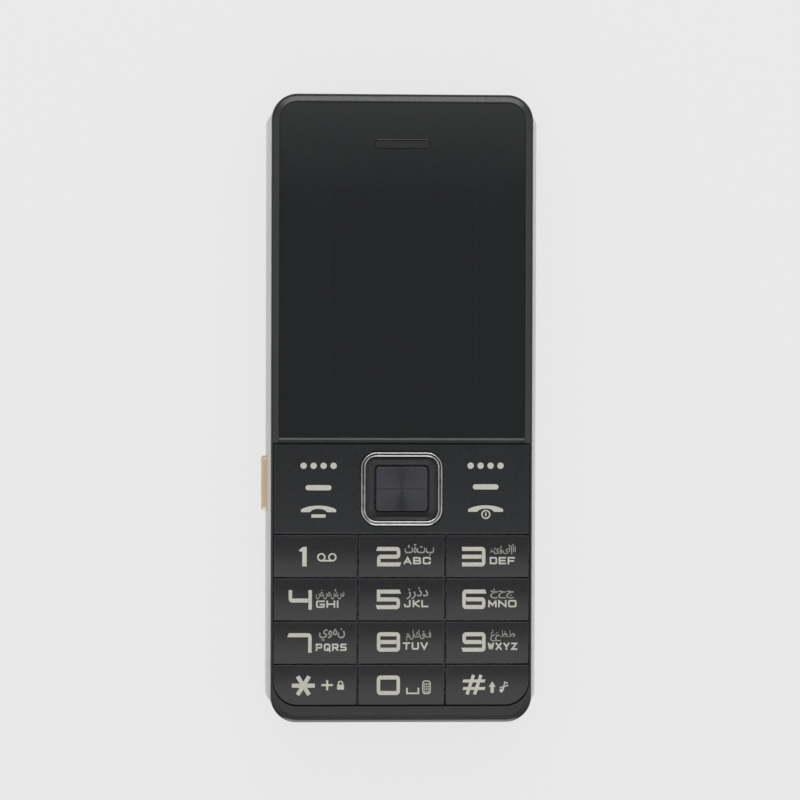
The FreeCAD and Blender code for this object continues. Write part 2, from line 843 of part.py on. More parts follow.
def make_side_key():
    body = new_body("side_key")
    inner = -inner_half_width
    outer = -half_width - size.trim_bulge - size.side_key_proud
    face = about(side_key_y, trim_middle, size.side_key_length, size.side_key_height,
                 nearly_round(size.side_key_height))
    add(body, "cap", outer, inner, face, role="YZ_Plane")
    outermost = lambda box: close(box.XMin, outer.number) and close(box.XMax, outer.number)
    dress(body, "Fillet", "soft_edge", outermost, Radius=size.side_key_round)
    ears = about(side_key_y, trim_middle, size.side_key_length + size.side_key_ear * 2, size.side_key_height)
    add(body, "ears", inner, inner + size.side_key_flange, ears, role="YZ_Plane")
    stem = circle(side_key_y, trim_middle, size.side_key_stem)
    stem_end = switch_face - size.side_key_travel - size.fit_gap / 2
    add(body, "stem", inner + size.side_key_flange, stem_end, stem, role="YZ_Plane")


# Screen

def make_lens():
    body = new_body("screen_lens")
    corners = (None, None, size.lens_corner, size.lens_corner)
    outline = rectangle(-lens_half_width, lens_half_width, lens_bottom, lens_top, corners)
    add(body, "plate", lens_back, lens_front, outline)
    slot = about(0, ear_y, size.ear_slot_width, size.ear_slot_length, nearly_round(size.ear_slot_length))
    cut(body, "ear_slot", lens_back, lens_front, slot)
    dress(body, "Chamfer", "edge", flat_at(lens_front), Size=size.lens_edge)

    body = new_body("lens_adhesive")
    inset = size.fit_gap * 2
    outline = rectangle(inset - lens_half_width, lens_half_width - inset, lens_bottom + inset,
                        lens_top - inset, corners)
    add(body, "frame", seat_level, lens_back, outline)
    edge = size.adhesive_width
    top_edge = lens_top - ear_y + size.ear_slot_length
    inside = rectangle(edge - lens_half_width, lens_half_width - edge, lens_bottom + edge,
                       lens_top - top_edge)
    slot = about(0, ear_y, size.ear_slot_width + inset, size.ear_slot_length + inset)
    cut(body, "inside", seat_level, lens_back, inside, slot)


def make_display():
    edge = size.backlight_edge
    tray = block("backlight_tray", span(zero, panel_half_width + edge), (panel_low - edge, panel_high + edge),
                 (board_top, panel_back))
    keep("display_backlight", tray)
    across = span(zero, panel_half_width)
    glass = block("panel_glass", across, (panel_low, panel_high),
                  (panel_back, panel_front))
    step_high = display_bottom - size.panel_side
    ledge = block("panel_step", across, (panel_low, step_high),
                  (panel_front - size.panel_thickness / 2, panel_front))
    keep("display_panel", less("panel", glass, ledge))
    body = new_body("display_gasket")
    outer = rectangle(size.fit_gap - panel_half_width, panel_half_width - size.fit_gap,
                      display_bottom - size.panel_side + size.fit_gap, panel_high - size.fit_gap)
    add(body, "foam", panel_front, skin_back, outer)
    edge = size.fit_gap * 3
    inner = rectangle(-display_half_width - edge, display_half_width + edge, display_bottom - edge,
                      display_top + edge)
    cut(body, "view", panel_front, skin_back, inner)
    body = new_body("display_ribbon")
    start = panel_low - size.backlight_edge
    end = start - size.ribbon_length
    rise = board_top + size.ribbon_thickness
    peak = panel_back + size.ribbon_thickness
    strip = polygon([
        (end, board_top), (start - size.ribbon_thickness, board_top),
        (start - size.ribbon_thickness, panel_back), (panel_low, panel_back), (panel_low, peak),
        (start - size.ribbon_thickness * 2, peak), (start - size.ribbon_thickness * 2, rise), (end, rise),
    ])
    half = size.ribbon_width / 2
    add(body, "strip", -half, half, strip, role="YZ_Plane")


def make_earpiece():
    half_x, half_y = size.ear_width / 2, size.ear_length / 2
    top = skin_back
    capsule = block("ear_capsule", span(zero, half_x), span(ear_y, half_y),
                    (top - size.ear_height, top))
    keep("earpiece_speaker", capsule)
    body = new_body("earpiece_mesh")
    inset = size.fit_gap * 2
    face = about(0, ear_y, size.ear_slot_width - inset, size.ear_slot_length - inset,
                 size.ear_mesh_corner)
    add(body, "mesh", seat_level, lens_front - size.mesh_thickness, face)


# Keys

def key_name(row, column):
    names = {(3, 0): "key_star", (3, 1): "key_0", (3, 2): "key_hash"}
    return names.get((row, column), f"key_{row * 3 + column + 1}")


def key_edges(column):
    # Left and right edge of a column's caps
    half_middle = size.middle_key_width / 2
    spans = [(-half_field, -half_middle - size.key_gap), (-half_middle, half_middle),
             (half_middle + size.key_gap, half_field)]
    return spans[column]


def make_number_key(row, column):
    body = new_body(key_name(row, column))
    left, right = key_edges(column)
    high = rows[row][0]
    low = rows[row][1] if row == 3 else rows[row][1] + size.key_gap
    last = row == 3
    radii = (size.key_corner if last and column == 0 else None,
             size.key_corner if last and column == 2 else None, None, None)
    crown = size.key_edge_level + size.key_crown
    add(body, "cap", cap_bottom, crown, rectangle(left, right, low, high, radii))
    above = crown + size.key_crown
    over = size.key_gap / 2
    edge = size.key_edge_level
    dome = polygon([(low, edge), (high, edge), (high + over, edge), (high + over, above), (low - over, above),
                    (low - over, edge)], {0: ((low + high) / 2, crown)})
    cut(body, "crown", left - over, right + over, dome, role="YZ_Plane")
    on_top = lambda box: box.ZMin > size.key_edge_level.number - 1e-4
    dress(body, "Fillet", "soft_edge", on_top, Radius=size.key_edge_round)
    foot = about(columns[column], foot_rows[row], size.foot_width, size.foot_length)
    add(body, "foot", mat_top, cap_bottom, foot)


def make_function_plate():
    body = new_body("function_plate")
    add(body, "plate", cap_bottom, plate_level, rectangle(-half_field, half_field, plate_low, plate_high))
    dress(body, "Chamfer", "edge", flat_at(plate_level), Size=size.plate_edge)
    border = size.ring_border * 2
    hole = about(0, nav_y, size.ring_width + border, size.ring_length + border,
                 size.ring_corner + size.ring_border)
    cut(body, "nav_hole", cap_bottom, plate_level, hole)
    feet = [about(x, y, size.foot_width, size.foot_length) for x, y in plate_domes]
    add(body, "feet", mat_top, cap_bottom, *feet)


def make_nav_key():
    body = new_body("nav_ring")
    outer = about(0, nav_y, size.ring_width, size.ring_length, size.ring_corner)
    inner_width = size.ring_width - size.ring_band * 2
    inner_length = size.ring_length - size.ring_band * 2
    inner_corner_radius = size.ring_corner - size.ring_band
    inner = about(0, nav_y, inner_width, inner_length, inner_corner_radius)
    add(body, "band", mat_top, size.ring_level, outer, inner)
    dress(body, "Fillet", "round", flat_at(size.ring_level), Radius=size.ring_round)

    body = new_body("nav_cap")
    gap = size.nav_gap * 2
    cap_radius = inner_corner_radius - size.nav_gap
    outer = about(0, nav_y, inner_width - gap, inner_length - gap, cap_radius)
    add(body, "base", mat_top, size.nav_outer_level, outer)
    lower = new_sketch(body, "slope_low", "XY_Plane", size.nav_outer_level)
    outer(lower)
    upper = new_sketch(body, "slope_high", "XY_Plane", size.nav_inner_level)
    about(0, nav_y, size.ok_width + size.ok_gap * 4, size.ok_length + size.ok_gap * 4,
          size.ok_corner + size.ok_gap * 2)(upper)
    slope = body.newObject("PartDesign::AdditiveLoft", "nav_cap_slope")
    slope.Profile = lower
    slope.Sections = [upper]
    hole = about(0, nav_y, size.ok_width + size.ok_gap * 2, size.ok_length + size.ok_gap * 2,
                 size.ok_corner + size.ok_gap)
    cut(body, "ok_hole", mat_top, size.nav_inner_level, hole)

    body = new_body("ok_key")
    add(body, "cap", mat_top, size.ok_level, about(0, nav_y, size.ok_width, size.ok_length, size.ok_corner))
    dress(body, "Fillet", "soft_edge", flat_at(size.ok_level), Radius=size.ok_edge)


def make_key_mat():
    body = new_body("key_mat")
    gap = size.fit_gap * 2
    half_x = inner_half_width - gap
    high, low = recess_high - gap, opening_low - size.ledge_width / 2
    corner = size.mat_corner
    add(body, "web", mat_bottom, mat_top, rectangle(-half_x, half_x, low, high, (corner,) * 4))
    add(body, "rim", board_top, mat_bottom, rectangle(-half_x, half_x, low, high, (corner,) * 4))
    rim = size.mat_rim_width
    inner_radius = corner - rim
    cut(body, "under", board_top, mat_bottom,
        rectangle(rim - half_x, half_x - rim, low + rim, high - rim, (inner_radius,) * 4))
    places = key_domes + plate_domes + direction_domes + [ok_dome]
    add(body, "plungers", dome_top + size.dome_gap, mat_bottom,
        *[circle(x, y, size.plunger_radius) for x, y in places])
    notch = size.boss_radius + size.fit_gap
    notches = [circle(x, lower_screw_y, notch) for x in (-screw_x, screw_x)]
    cut(body, "boss_notches", board_top, mat_top, *notches)


# Board and what it carries

def make_board():
    body = new_body("main_board")
    high, low = half_length - size.board_top_border, size.board_low_border - half_length
    outline = rectangle(-board_half_width, board_half_width, low, high, (size.board_corner,) * 4)
    add(body, "plate", size.board_level, board_top, outline)
    gap = size.fit_gap * 2
    holes = [circle(x, y, size.boss_radius + gap) for x, y in screw_places]
    reach = size.housing_width
    jack = about(size.jack_x, jack_back + reach / 2, size.jack_width + gap, reach + gap)
    usb = about(size.usb_x, usb_back + reach / 2, size.usb_width + gap, reach + gap)
    side_key = about(-half_width, side_key_y, (switch_face + half_width) * 2 + gap,
                     size.side_key_length + size.side_key_ear * 3)
    cuts = {"screw_holes": holes, "socket_notches": [jack, usb], "side_key_notch": [side_key]}
    for name, shapes in cuts.items():
        cut(body, name, size.board_level, board_top, *shapes)


def make_dome_sheet():
    body = new_body("dome_film")
    gap = size.fit_gap * 2
    rim = size.mat_rim_width + gap * 2
    half_x = inner_half_width - rim
    low = lower_screw_y + size.boss_radius + gap
    outline = rectangle(-half_x, half_x, low, recess_high - rim, (size.film_corner,) * 4)
    add(body, "film", board_top, film_top, outline)
    holes = [about(x, y, size.led_width + gap, size.led_length + gap) for x, y in led_places]
    cut(body, "led_holes", board_top, film_top, *holes)
    domes = []
    for x, y in key_domes + plate_domes + [ok_dome] + direction_domes:
        small = (x, y) in direction_domes
        dome = doc.addObject("Part::Cone", "dome")
        base = size.direction_dome_radius if small else size.dome_radius
        dome.setExpression("Radius1", base.formula)
        dome.setExpression("Radius2", size.dome_top_radius.formula)
        dome.setExpression("Height", size.dome_height.formula)
        place(dome, x, y, film_top)
        domes.append(dome)
    keep("key_domes", grouped("dome_group", domes))
    half_x, half_y = size.led_width / 2, size.led_length / 2
    lamps = [
        block("led", span(x, half_x), span(y, half_y), (board_top, board_top + size.led_height))
        for x, y in led_places
    ]
    keep("key_lights", grouped("led_group", lamps))


def make_can(label, x, y, width, length):
    # A pressed lid, open towards the board that it hangs from
    half_x, half_y = width / 2, length / 2
    wall = size.can_wall
    low = size.board_level - size.can_height
    lid = block(f"{label}_lid", span(x, half_x), span(y, half_y), (low, size.board_level))
    hollow = block(f"{label}_hollow", span(x, half_x - wall), span(y, half_y - wall),
                   (low + wall, size.board_level))
    keep(label, less(f"{label}_shell", lid, hollow))


def make_holder(holder):
    # A card cage under the board, its slot open towards the lower end
    half_x, half_y = holder.width / 2, holder.length / 2
    x, y = holder.x, holder.y
    low = size.deck_level + size.battery_gap
    cage = block(f"{holder.label}_cage", span(x, half_x), span(y, half_y), (low, size.board_level))
    wall = size.holder_wall
    slot = block(f"{holder.label}_slot", span(x, half_x - wall), (y - half_y, y + half_y - wall),
                 (low + wall, low + wall + size.holder_slot))
    keep(holder.label, less(f"{holder.label}_body", cage, slot))


def make_under_board():
    processor_y = bay_high - size.processor_drop
    make_can("shield_can_processor", size.processor_x, processor_y, size.processor_width,
             size.processor_length)
    radio_y = bay_high - size.radio_drop
    make_can("shield_can_radio", size.radio_x, radio_y, size.radio_width, size.radio_length)
    half_chip = size.chip_width / 2
    keep("processor_chip", block(
        "chip", span(size.processor_x, half_chip),
        span(processor_y, half_chip),
        (size.board_level - size.chip_height, size.board_level)))
    cell_start = (size.cell_x, bay_high - size.cell_drop, size.board_level - size.clock_cell_height)
    keep("clock_cell", rod("cell", cell_start, size.clock_cell_radius, size.clock_cell_height))
    for holder in holders:
        make_holder(holder)
    half_x = size.connector_width / 2
    low = bay_high
    keep("battery_connector", block("connector", span(zero, half_x), (low, low + size.connector_length),
                                    (size.connector_low, size.board_level)))
    half_y = size.switch_length / 2
    keep("side_key_switch", block("switch", (switch_face, switch_face + size.switch_width),
                                  span(side_key_y, half_y),
                                  (size.board_level - size.switch_height, size.board_level)))


def make_sockets():
    half_x, half_z = size.jack_width / 2, size.jack_height / 2
    level = size.socket_level
    nose_start = inner_half_length - size.fit_gap / 2
    mouth = half_length - size.fit_gap / 2
    barrel = block("jack_barrel", span(size.jack_x, half_x), (jack_back, nose_start),
                   span(level, half_z))
    nose = rod("jack_nose", (size.jack_x, nose_start, level), size.jack_nose_radius, mouth - nose_start, "Y")
    bore = rod("jack_bore", (size.jack_x, mouth - size.plug_bore_length, level), size.plug_bore_radius,
               size.plug_bore_length, "Y")
    keep("headset_jack", less("jack", joined("jack_solid", barrel, nose), bore))

    half_x, half_z = size.usb_width / 2, size.usb_height / 2
    wall = size.usb_shell
    shell = block("usb_shell", span(size.usb_x, half_x), (usb_back, mouth),
                  span(level, half_z))
    room = block("usb_room", span(size.usb_x, half_x - wall), (usb_back + wall, mouth),
                 span(level, half_z - wall))
    half_tongue = size.usb_tongue / 2
    tongue = block("usb_tongue", span(size.usb_x, half_x - wall * 3),
                   (usb_back, mouth - wall * 3), span(level, half_tongue))
    keep("charging_socket", joined("usb", less("usb_case", shell, room), tongue))

    boot_radius = size.mic_radius + size.mic_boot_wall
    wall_y = size.fit_gap / 2 - inner_half_length
    boot_length = size.mic_length + size.mic_boot_wall
    boot = rod("mic_boot_solid", (size.mic_x, wall_y, level), boot_radius, boot_length, "Y")
    port = rod("mic_port", (size.mic_x, wall_y, level), size.mic_port_radius, size.mic_boot_wall, "Y")
    seat = (size.mic_x, wall_y + size.mic_boot_wall, level)
    cup = rod("mic_cup", seat, size.mic_radius, size.mic_length, "Y")
    keep("microphone_boot", less("mic_boot", boot, cup, port))
    keep("microphone", rod("mic_capsule", seat, size.mic_radius, size.mic_length, "Y"))


# Camera end and the back

def make_camera_end():
    back = size.wall
    half_x, half_y = size.mesh_width / 2, size.mesh_length / 2
    x, y = speaker_x, speaker_y
    mesh_top = back + size.mesh_thickness
    keep("loudspeaker_mesh", block("mesh", span(x, half_x), span(y, half_y), (back, mesh_top)))
    half_x, half_y = size.speaker_width / 2, size.speaker_length / 2
    keep("loudspeaker", block("speaker", span(x, half_x), span(y, half_y),
                              (mesh_top, mesh_top + size.speaker_height)))

    barrel = rod("camera_barrel", (0, camera_y, back), size.barrel_radius, size.barrel_height)
    half = size.camera_width / 2
    base_level = back + size.barrel_height
    base = block("camera_base", span(zero, half), span(camera_y, half),
                 (base_level, base_level + size.camera_height))
    pupil = rod("camera_pupil", (0, camera_y, back), size.pupil_radius, size.barrel_height)
    keep("camera_module", less("camera", joined("camera_solid", barrel, base), pupil))
    window_start = (0, camera_y, size.window_sink)
    keep("camera_window", rod("window", window_start, size.window_radius, size.window_thickness))

    guide = rod("torch_guide", (size.torch_x, camera_y, size.window_sink), size.torch_radius,
                back - size.window_sink)
    flange = rod("torch_flange", (size.torch_x, camera_y, back), size.torch_radius + size.torch_flange,
                 size.torch_flange_height)
    keep("torch_lens", joined("torch", guide, flange))
    half = size.torch_led_width / 2
    low = back + size.torch_flange_height
    keep("torch_led", block("torch_lamp", span(size.torch_x, half),
                            span(camera_y, half), (low, low + size.torch_led_height)))


def make_motor():
    start = (size.motor_x, motor_y, motor_level)
    can = rod("motor_can", start, size.motor_radius, size.motor_length, "X")
    face = size.motor_x + size.motor_length
    bore_radius = size.shaft_radius + size.shaft_gap
    bore_length = size.shaft_length + size.shaft_gap
    bore = rod("motor_bore", (face - bore_length, motor_y, motor_level), bore_radius, bore_length, "X")
    keep("vibration_motor", less("motor", can, bore))

    body = new_body("vibration_weight")
    weight_start = face + size.weight_gap
    weight_end = weight_start + size.weight_length
    radius = size.motor_radius - size.shaft_gap
    hub = size.shaft_radius * 2
    profile = polygon([(motor_y - radius, motor_level), (motor_y + radius, motor_level)],
                      {0: (motor_y, motor_level - radius)})
    add(body, "half_disc", weight_start, weight_end, profile, role="YZ_Plane")
    add(body, "hub", weight_start, weight_end, circle(motor_y, motor_level, hub), role="YZ_Plane")
    shaft = circle(motor_y, motor_level, size.shaft_radius)
    add(body, "shaft", face - size.shaft_length, weight_start, shaft, role="YZ_Plane")


def make_battery():
    body = new_body("battery")
    low = size.cover_skin + size.fit_gap
    add(body, "cell", low, low + size.battery_thickness,
        rectangle(-battery_half_width, battery_half_width, battery_low, battery_high,
                  (size.battery_round,) * 4))


def make_screws():
    screws = []
    for x, y in screw_places:
        head = rod("head", (x, y, size.deck_level - size.screw_head_height), size.screw_head_radius,
                   size.screw_head_height)
        shank = rod("shank", (x, y, size.deck_level), size.screw_radius, size.screw_length)
        half_long, half_wide = size.recess_length / 2, size.recess_width / 2
        low = size.deck_level - size.screw_head_height
        high = low + size.screw_recess
        first = block("recess", (x - half_long, x + half_long), (y - half_wide, y + half_wide), (low, high))
        second = block("recess", (x - half_wide, x + half_wide), (y - half_long, y + half_long), (low, high))
        screws.append(less("screw", joined("screw_solid", head, shank), first, second))
    keep("housing_screws", grouped("screw_group", screws))


def make_antenna():
    body = new_body("antenna_carrier")
    half_x = size.antenna_width / 2
    outline = rectangle(-half_x, half_x, antenna_low, antenna_high, (size.antenna_round,) * 4)
    add(body, "block", size.deck_level - size.antenna_height, size.deck_level, outline)


def finish():
    doc.recompute()
    for item in doc.Objects:
        if "Invalid" in item.State or "Error" in item.State:
            raise ValueError(f"{item.Label}: {item.State}")
        if item.isDerivedFrom("PartDesign::Pocket"):
            taken = item.BaseFeature.Shape.Volume - item.Shape.Volume
            if taken < 1e-4:
                raise ValueError(f"{item.Label} cuts nothing")
    for node in nodes:
        shape = node.Shape
        if shape.isNull() or not shape.isValid():
            raise ValueError(f"{node.Label}: bad shape")
    os.makedirs("parts", exist_ok=True)
    for node in nodes:
        node.Shape.exportStep(f"parts/{node.Label}.step")
    print(len(nodes), "parts")


make_front_housing()
make_rear_housing()
make_battery_cover()
make_trim("left_side_trim", -1)
make_trim("right_side_trim", 1)
make_side_key()
make_lens()
make_display()
make_earpiece()
for key_row in range(4):
    for key_column in range(3):
        make_number_key(key_row, key_column)
make_function_plate()
make_nav_key()
make_key_mat()
make_board()
make_dome_sheet()
make_under_board()
make_sockets()
make_camera_end()
make_motor()
make_battery()
make_screws()
make_antenna()
finish()
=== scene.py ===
import math

import bpy
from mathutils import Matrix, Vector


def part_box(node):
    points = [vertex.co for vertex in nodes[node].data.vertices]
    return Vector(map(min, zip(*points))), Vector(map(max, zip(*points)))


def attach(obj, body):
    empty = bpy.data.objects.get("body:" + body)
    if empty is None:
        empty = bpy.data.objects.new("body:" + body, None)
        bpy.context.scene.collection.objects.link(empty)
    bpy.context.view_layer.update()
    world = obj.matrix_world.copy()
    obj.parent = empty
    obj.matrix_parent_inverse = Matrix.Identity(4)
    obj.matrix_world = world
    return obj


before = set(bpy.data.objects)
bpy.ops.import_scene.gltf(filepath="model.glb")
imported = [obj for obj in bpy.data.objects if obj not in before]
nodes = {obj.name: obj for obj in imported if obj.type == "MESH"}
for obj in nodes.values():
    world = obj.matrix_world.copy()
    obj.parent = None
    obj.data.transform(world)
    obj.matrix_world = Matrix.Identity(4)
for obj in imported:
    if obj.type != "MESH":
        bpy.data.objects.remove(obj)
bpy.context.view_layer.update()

# A bar phone on its back: X to the right as the keys are read, Y towards the earpiece, Z out of the screen.
# Lengths are millimetres in the dictionaries and metres in the scene.

mm = 0.001
print("frame:", len(nodes), "nodes")

# Camera, as the rows of keys, the lens and the outline fix it in the photograph

cameraView = {
    "place": (-19.457, 6.610, 499.580),
    "turn": (-0.591, -2.243, 0.168),
    "lens": 114.32,
}
cameraData = bpy.data.cameras.new("photoCamera")
cameraData.sensor_width = 36
cameraData.lens = cameraView["lens"]
cameraData.clip_start = 0.01
photoCamera = bpy.data.objects.new("photoCamera", cameraData)
photoCamera.location = [value * mm for value in cameraView["place"]]
photoCamera.rotation_euler = [math.radians(value) for value in cameraView["turn"]]
bpy.context.scene.collection.objects.link(photoCamera)
bpy.context.scene.camera = photoCamera
bpy.context.scene.view_settings.view_transform = "Standard"


# Nodes and colours

def toLinear(code):
    channels = [int(code[start:start + 2], 16) / 255 for start in (1, 3, 5)]
    straight = [c / 12.92 if c <= 0.04045 else ((c + 0.055) / 1.055) ** 2.4 for c in channels]
    return (*straight, 1.0)


def perMm(size):
    return 1000 / size    # a texture's scale, for a detail of that many millimetres


def addNode(tree, kind, settings=None, links=None):
    node = tree.nodes.new(kind)
    for key, value in (settings or {}).items():
        if isinstance(key, str) and key[0].islower():
            setattr(node, key, value)
        else:
            node.inputs[key].default_value = value
    for key, source in (links or {}).items():
        tree.links.new(source, node.inputs[key])
    return node


def newMaterial(name, settings):
    material = bpy.data.materials.new(name)
    material.use_nodes = True
    tree = material.node_tree
    tree.nodes.clear()
    surface = addNode(tree, "ShaderNodeBsdfPrincipled", settings)
    addNode(tree, "ShaderNodeOutputMaterial", links={"Surface": surface.outputs[0]})
    place = addNode(tree, "ShaderNodeTexCoord").outputs["Object"]
    return material, tree, surface, place


def grain(tree, surface, place, finish):
    # Two tones, two roughnesses and a bump, all from one noise of the finish's grain
    noise = addNode(tree, "ShaderNodeTexNoise",
                    {"Scale": perMm(finish["grain"]), "Detail": 3.0, "Roughness": 0.6}, {"Vector": place})
    drift = addNode(tree, "ShaderNodeTexNoise", {"Scale": perMm(18), "Detail": 1.0}, {"Vector": place})
    mixed = addNode(tree, "ShaderNodeMath", {"operation": "MULTIPLY_ADD", 1: 0.5},
                    {0: drift.outputs["Fac"], 2: noise.outputs["Fac"]})
    tone = addNode(tree, "ShaderNodeMapRange", {"From Min": 0.55, "From Max": 0.95},
                   {"Value": mixed.outputs[0]})
    colour = addNode(tree, "ShaderNodeMix", {"data_type": "RGBA"}, {0: tone.outputs[0]})
    colour.inputs[6].default_value = toLinear(finish["dark"])
    colour.inputs[7].default_value = toLinear(finish["light"])
    tree.links.new(colour.outputs[2], surface.inputs["Base Color"])
    low, high = finish["rough"]
    rough = addNode(tree, "ShaderNodeMapRange",
                    {"From Min": 0.3, "From Max": 0.7, "To Min": low, "To Max": high},
                    {"Value": noise.outputs["Fac"]})
    tree.links.new(rough.outputs[0], surface.inputs["Roughness"])
    bump = addNode(tree, "ShaderNodeBump", {"Strength": 0.5, "Distance": finish["bump"] * mm},
                   {"Height": noise.outputs["Fac"]})
    tree.links.new(bump.outputs[0], surface.inputs["Normal"])
    return colour.outputs[2]


def grained(name, finish, shader=None):
    material, tree, surface, place = newMaterial(name, shader or {})
    grain(tree, surface, place, finish)
    return material


def dress(nodeName, material):
    mesh = nodes[nodeName].data
    mesh.materials.clear()
    mesh.materials.append(material)


# Housings: ABS moulded black. The front's tool is polished, so its highlights are soft but clean. The back's
# tool is spark eroded, which leaves a dull grain.

frontFinish = {"dark": "#242526", "light": "#292A2B", "rough": (0.2, 0.27), "grain": 0.7, "bump": 0.002}
frontAbs = grained("mouldedAbsHalfGloss", frontFinish)
dress("front_housing", frontAbs)

backFinish = {"dark": "#1C1D1F", "light": "#27282A", "rough": (0.42, 0.58), "grain": 0.45, "bump": 0.03}
backAbs = grained("sparkTexturedAbs", backFinish)
dress("rear_housing", backAbs)
dress("battery_cover", backAbs)

# Lens: clear cast acrylic, printed black behind, with a window for the display. It mirrors the room sharply.

lensPrint = {"dark": "#28292A", "light": "#2A2B2C", "rough": (0.03, 0.04), "grain": 1.5, "bump": 0.0004,
             "smoke": "#3B3C3F", "window": (14.3, 4.0, 43.0), "edge": 0.3, "clear": 0.5}
acrylic, tree, surface, place = newMaterial("printedAcrylic", {"IOR": 1.49})
printTone = grain(tree, surface, place, lensPrint)
split = addNode(tree, "ShaderNodeSeparateXYZ", links={0: place})
halfWindow, windowLow, windowHigh = lensPrint["window"]
sideways = addNode(tree, "ShaderNodeMath", {"operation": "ABSOLUTE"}, {0: split.outputs[0]})
acrossIn = addNode(tree, "ShaderNodeMapRange",
                   {"From Min": halfWindow * mm, "From Max": (halfWindow - lensPrint["edge"]) * mm},
                   {"Value": sideways.outputs[0]})
lowIn = addNode(tree, "ShaderNodeMapRange",
                {"From Min": windowLow * mm, "From Max": (windowLow + lensPrint["edge"]) * mm},
                {"Value": split.outputs[1]})
highIn = addNode(tree, "ShaderNodeMapRange",
                 {"From Min": windowHigh * mm, "From Max": (windowHigh - lensPrint["edge"]) * mm},
                 {"Value": split.outputs[1]})
alongIn = addNode(tree, "ShaderNodeMath", {"operation": "MULTIPLY"},
                  {0: lowIn.outputs[0], 1: highIn.outputs[0]})
windowMask = addNode(tree, "ShaderNodeMath", {"operation": "MULTIPLY"},
                     {0: alongIn.outputs[0], 1: acrossIn.outputs[0]})
seeThrough = addNode(tree, "ShaderNodeMath", {"operation": "MULTIPLY", 1: lensPrint["clear"]},
                     {0: windowMask.outputs[0]})
tree.links.new(seeThrough.outputs[0], surface.inputs["Transmission Weight"])
lensColour = addNode(tree, "ShaderNodeMix", {"data_type": "RGBA"}, {0: windowMask.outputs[0], 6: printTone})
lensColour.inputs[7].default_value = toLinear(lensPrint["smoke"])
tree.links.new(lensColour.outputs[2], surface.inputs["Base Color"])
dress("screen_lens", acrylic)

# Keys: polycarbonate caps under a satin lacquer. A soft sheen runs over the crown of each one.

keyFinish = {"dark": "#29292B", "light": "#2D2D2F", "rough": (0.15, 0.2), "grain": 0.5, "bump": 0.001}
keyLacquer = grained("satinLacquerOverPolycarbonate", keyFinish)
keyNames = ["key_1", "key_2", "key_3", "key_4", "key_5", "key_6", "key_7", "key_8", "key_9",
            "key_star", "key_0", "key_hash"]
for name in keyNames:
    dress(name, keyLacquer)
plateFinish = {"dark": "#2A2B2C", "light": "#2D2E30", "rough": (0.12, 0.17), "grain": 0.6, "bump": 0.001}
dress("function_plate", grained("glossLacquerOverPolycarbonate", plateFinish))

# Navigation key: chrome plate on the ring draws bright lines, and piano black lacquer on the frame stays deep

chromeFinish = {"dark": "#D8D9D8", "light": "#EDEDEB", "rough": (0.05, 0.11), "grain": 1.2, "bump": 0.002}
dress("nav_ring", grained("chromePlatedAbs", chromeFinish, {"Metallic": 1.0}))
capFinish = {"dark": "#151517", "light": "#1B1B1D", "rough": (0.12, 0.2), "grain": 0.8, "bump": 0.002}
dress("nav_cap", grained("pianoBlackLacquer", capFinish))

# A spun face catches light in wedges; here they are painted into its colour, a painted reflection and shade.
# Real turning marks are finer; these are as coarse as the picture needs.
# A fine darker line of painted shade divides its upper half from its lower half, and the painted shade wedge
# under the middle is the darker one.
spunFace = {"centre": (0, -15.37), "ring": 0.38, "dark": "#48484A", "light": "#54555A", "shadow": "#343537",
            "line": 0.2, "lower": (0.05, 0.5, 0.55), "upper": (0.05, 0.45, 0.3)}
spun, tree, surface, place = newMaterial("spunDarkAluminium", {"Metallic": 1.0, "Anisotropic": 0.6})
shift = addNode(tree, "ShaderNodeVectorMath",
                {"operation": "SUBTRACT", 1: (spunFace["centre"][0] * mm, spunFace["centre"][1] * mm, 0)},
                {0: place})
flat = addNode(tree, "ShaderNodeVectorMath", {"operation": "MULTIPLY", 1: (1, 1, 0)}, {0: shift.outputs[0]})
reach = addNode(tree, "ShaderNodeVectorMath", {"operation": "LENGTH"}, {0: flat.outputs[0]})
turns = addNode(tree, "ShaderNodeMath",
                {"operation": "MULTIPLY", 1: 2 * math.pi * perMm(spunFace["ring"])},
                {0: reach.outputs["Value"]})
groove = addNode(tree, "ShaderNodeMath", {"operation": "SINE"}, {0: turns.outputs[0]})
shade = addNode(tree, "ShaderNodeMapRange",
                {"From Min": -1.0, "From Max": 1.0, "To Min": 0.35, "To Max": 0.65},
                {"Value": groove.outputs[0]})
spunColour = addNode(tree, "ShaderNodeMix", {"data_type": "RGBA"}, {0: shade.outputs[0]})
spunColour.inputs[6].default_value = toLinear(spunFace["dark"])
spunColour.inputs[7].default_value = toLinear(spunFace["light"])
sides = addNode(tree, "ShaderNodeSeparateXYZ", links={0: flat.outputs[0]})
acrossSpun = addNode(tree, "ShaderNodeMath", {"operation": "ABSOLUTE"}, {0: sides.outputs[0]})
alongSpun = addNode(tree, "ShaderNodeMath", {"operation": "ABSOLUTE"}, {0: sides.outputs[1]})
isLower = addNode(tree, "ShaderNodeMath", {"operation": "LESS_THAN", 1: 0.0}, {0: sides.outputs[1]})
spread = addNode(tree, "ShaderNodeMath", {"operation": "DIVIDE"},
                 {0: acrossSpun.outputs[0], 1: alongSpun.outputs[0]})
# Painted shade: darker wedges above and below the middle stand in for the spun face's reflection
paintedShadeWedges = []
for inner, outer, depth in (spunFace["upper"], spunFace["lower"]):
    paintedShadeWedges.append(addNode(tree, "ShaderNodeMapRange", {"From Min": outer, "From Max": inner, "To Max": depth},
                          {"Value": spread.outputs[0]}))
paintedShadeWedge = addNode(tree, "ShaderNodeMix", links={0: isLower.outputs[0], 2: paintedShadeWedges[0].outputs[0],
                                              3: paintedShadeWedges[1].outputs[0]})
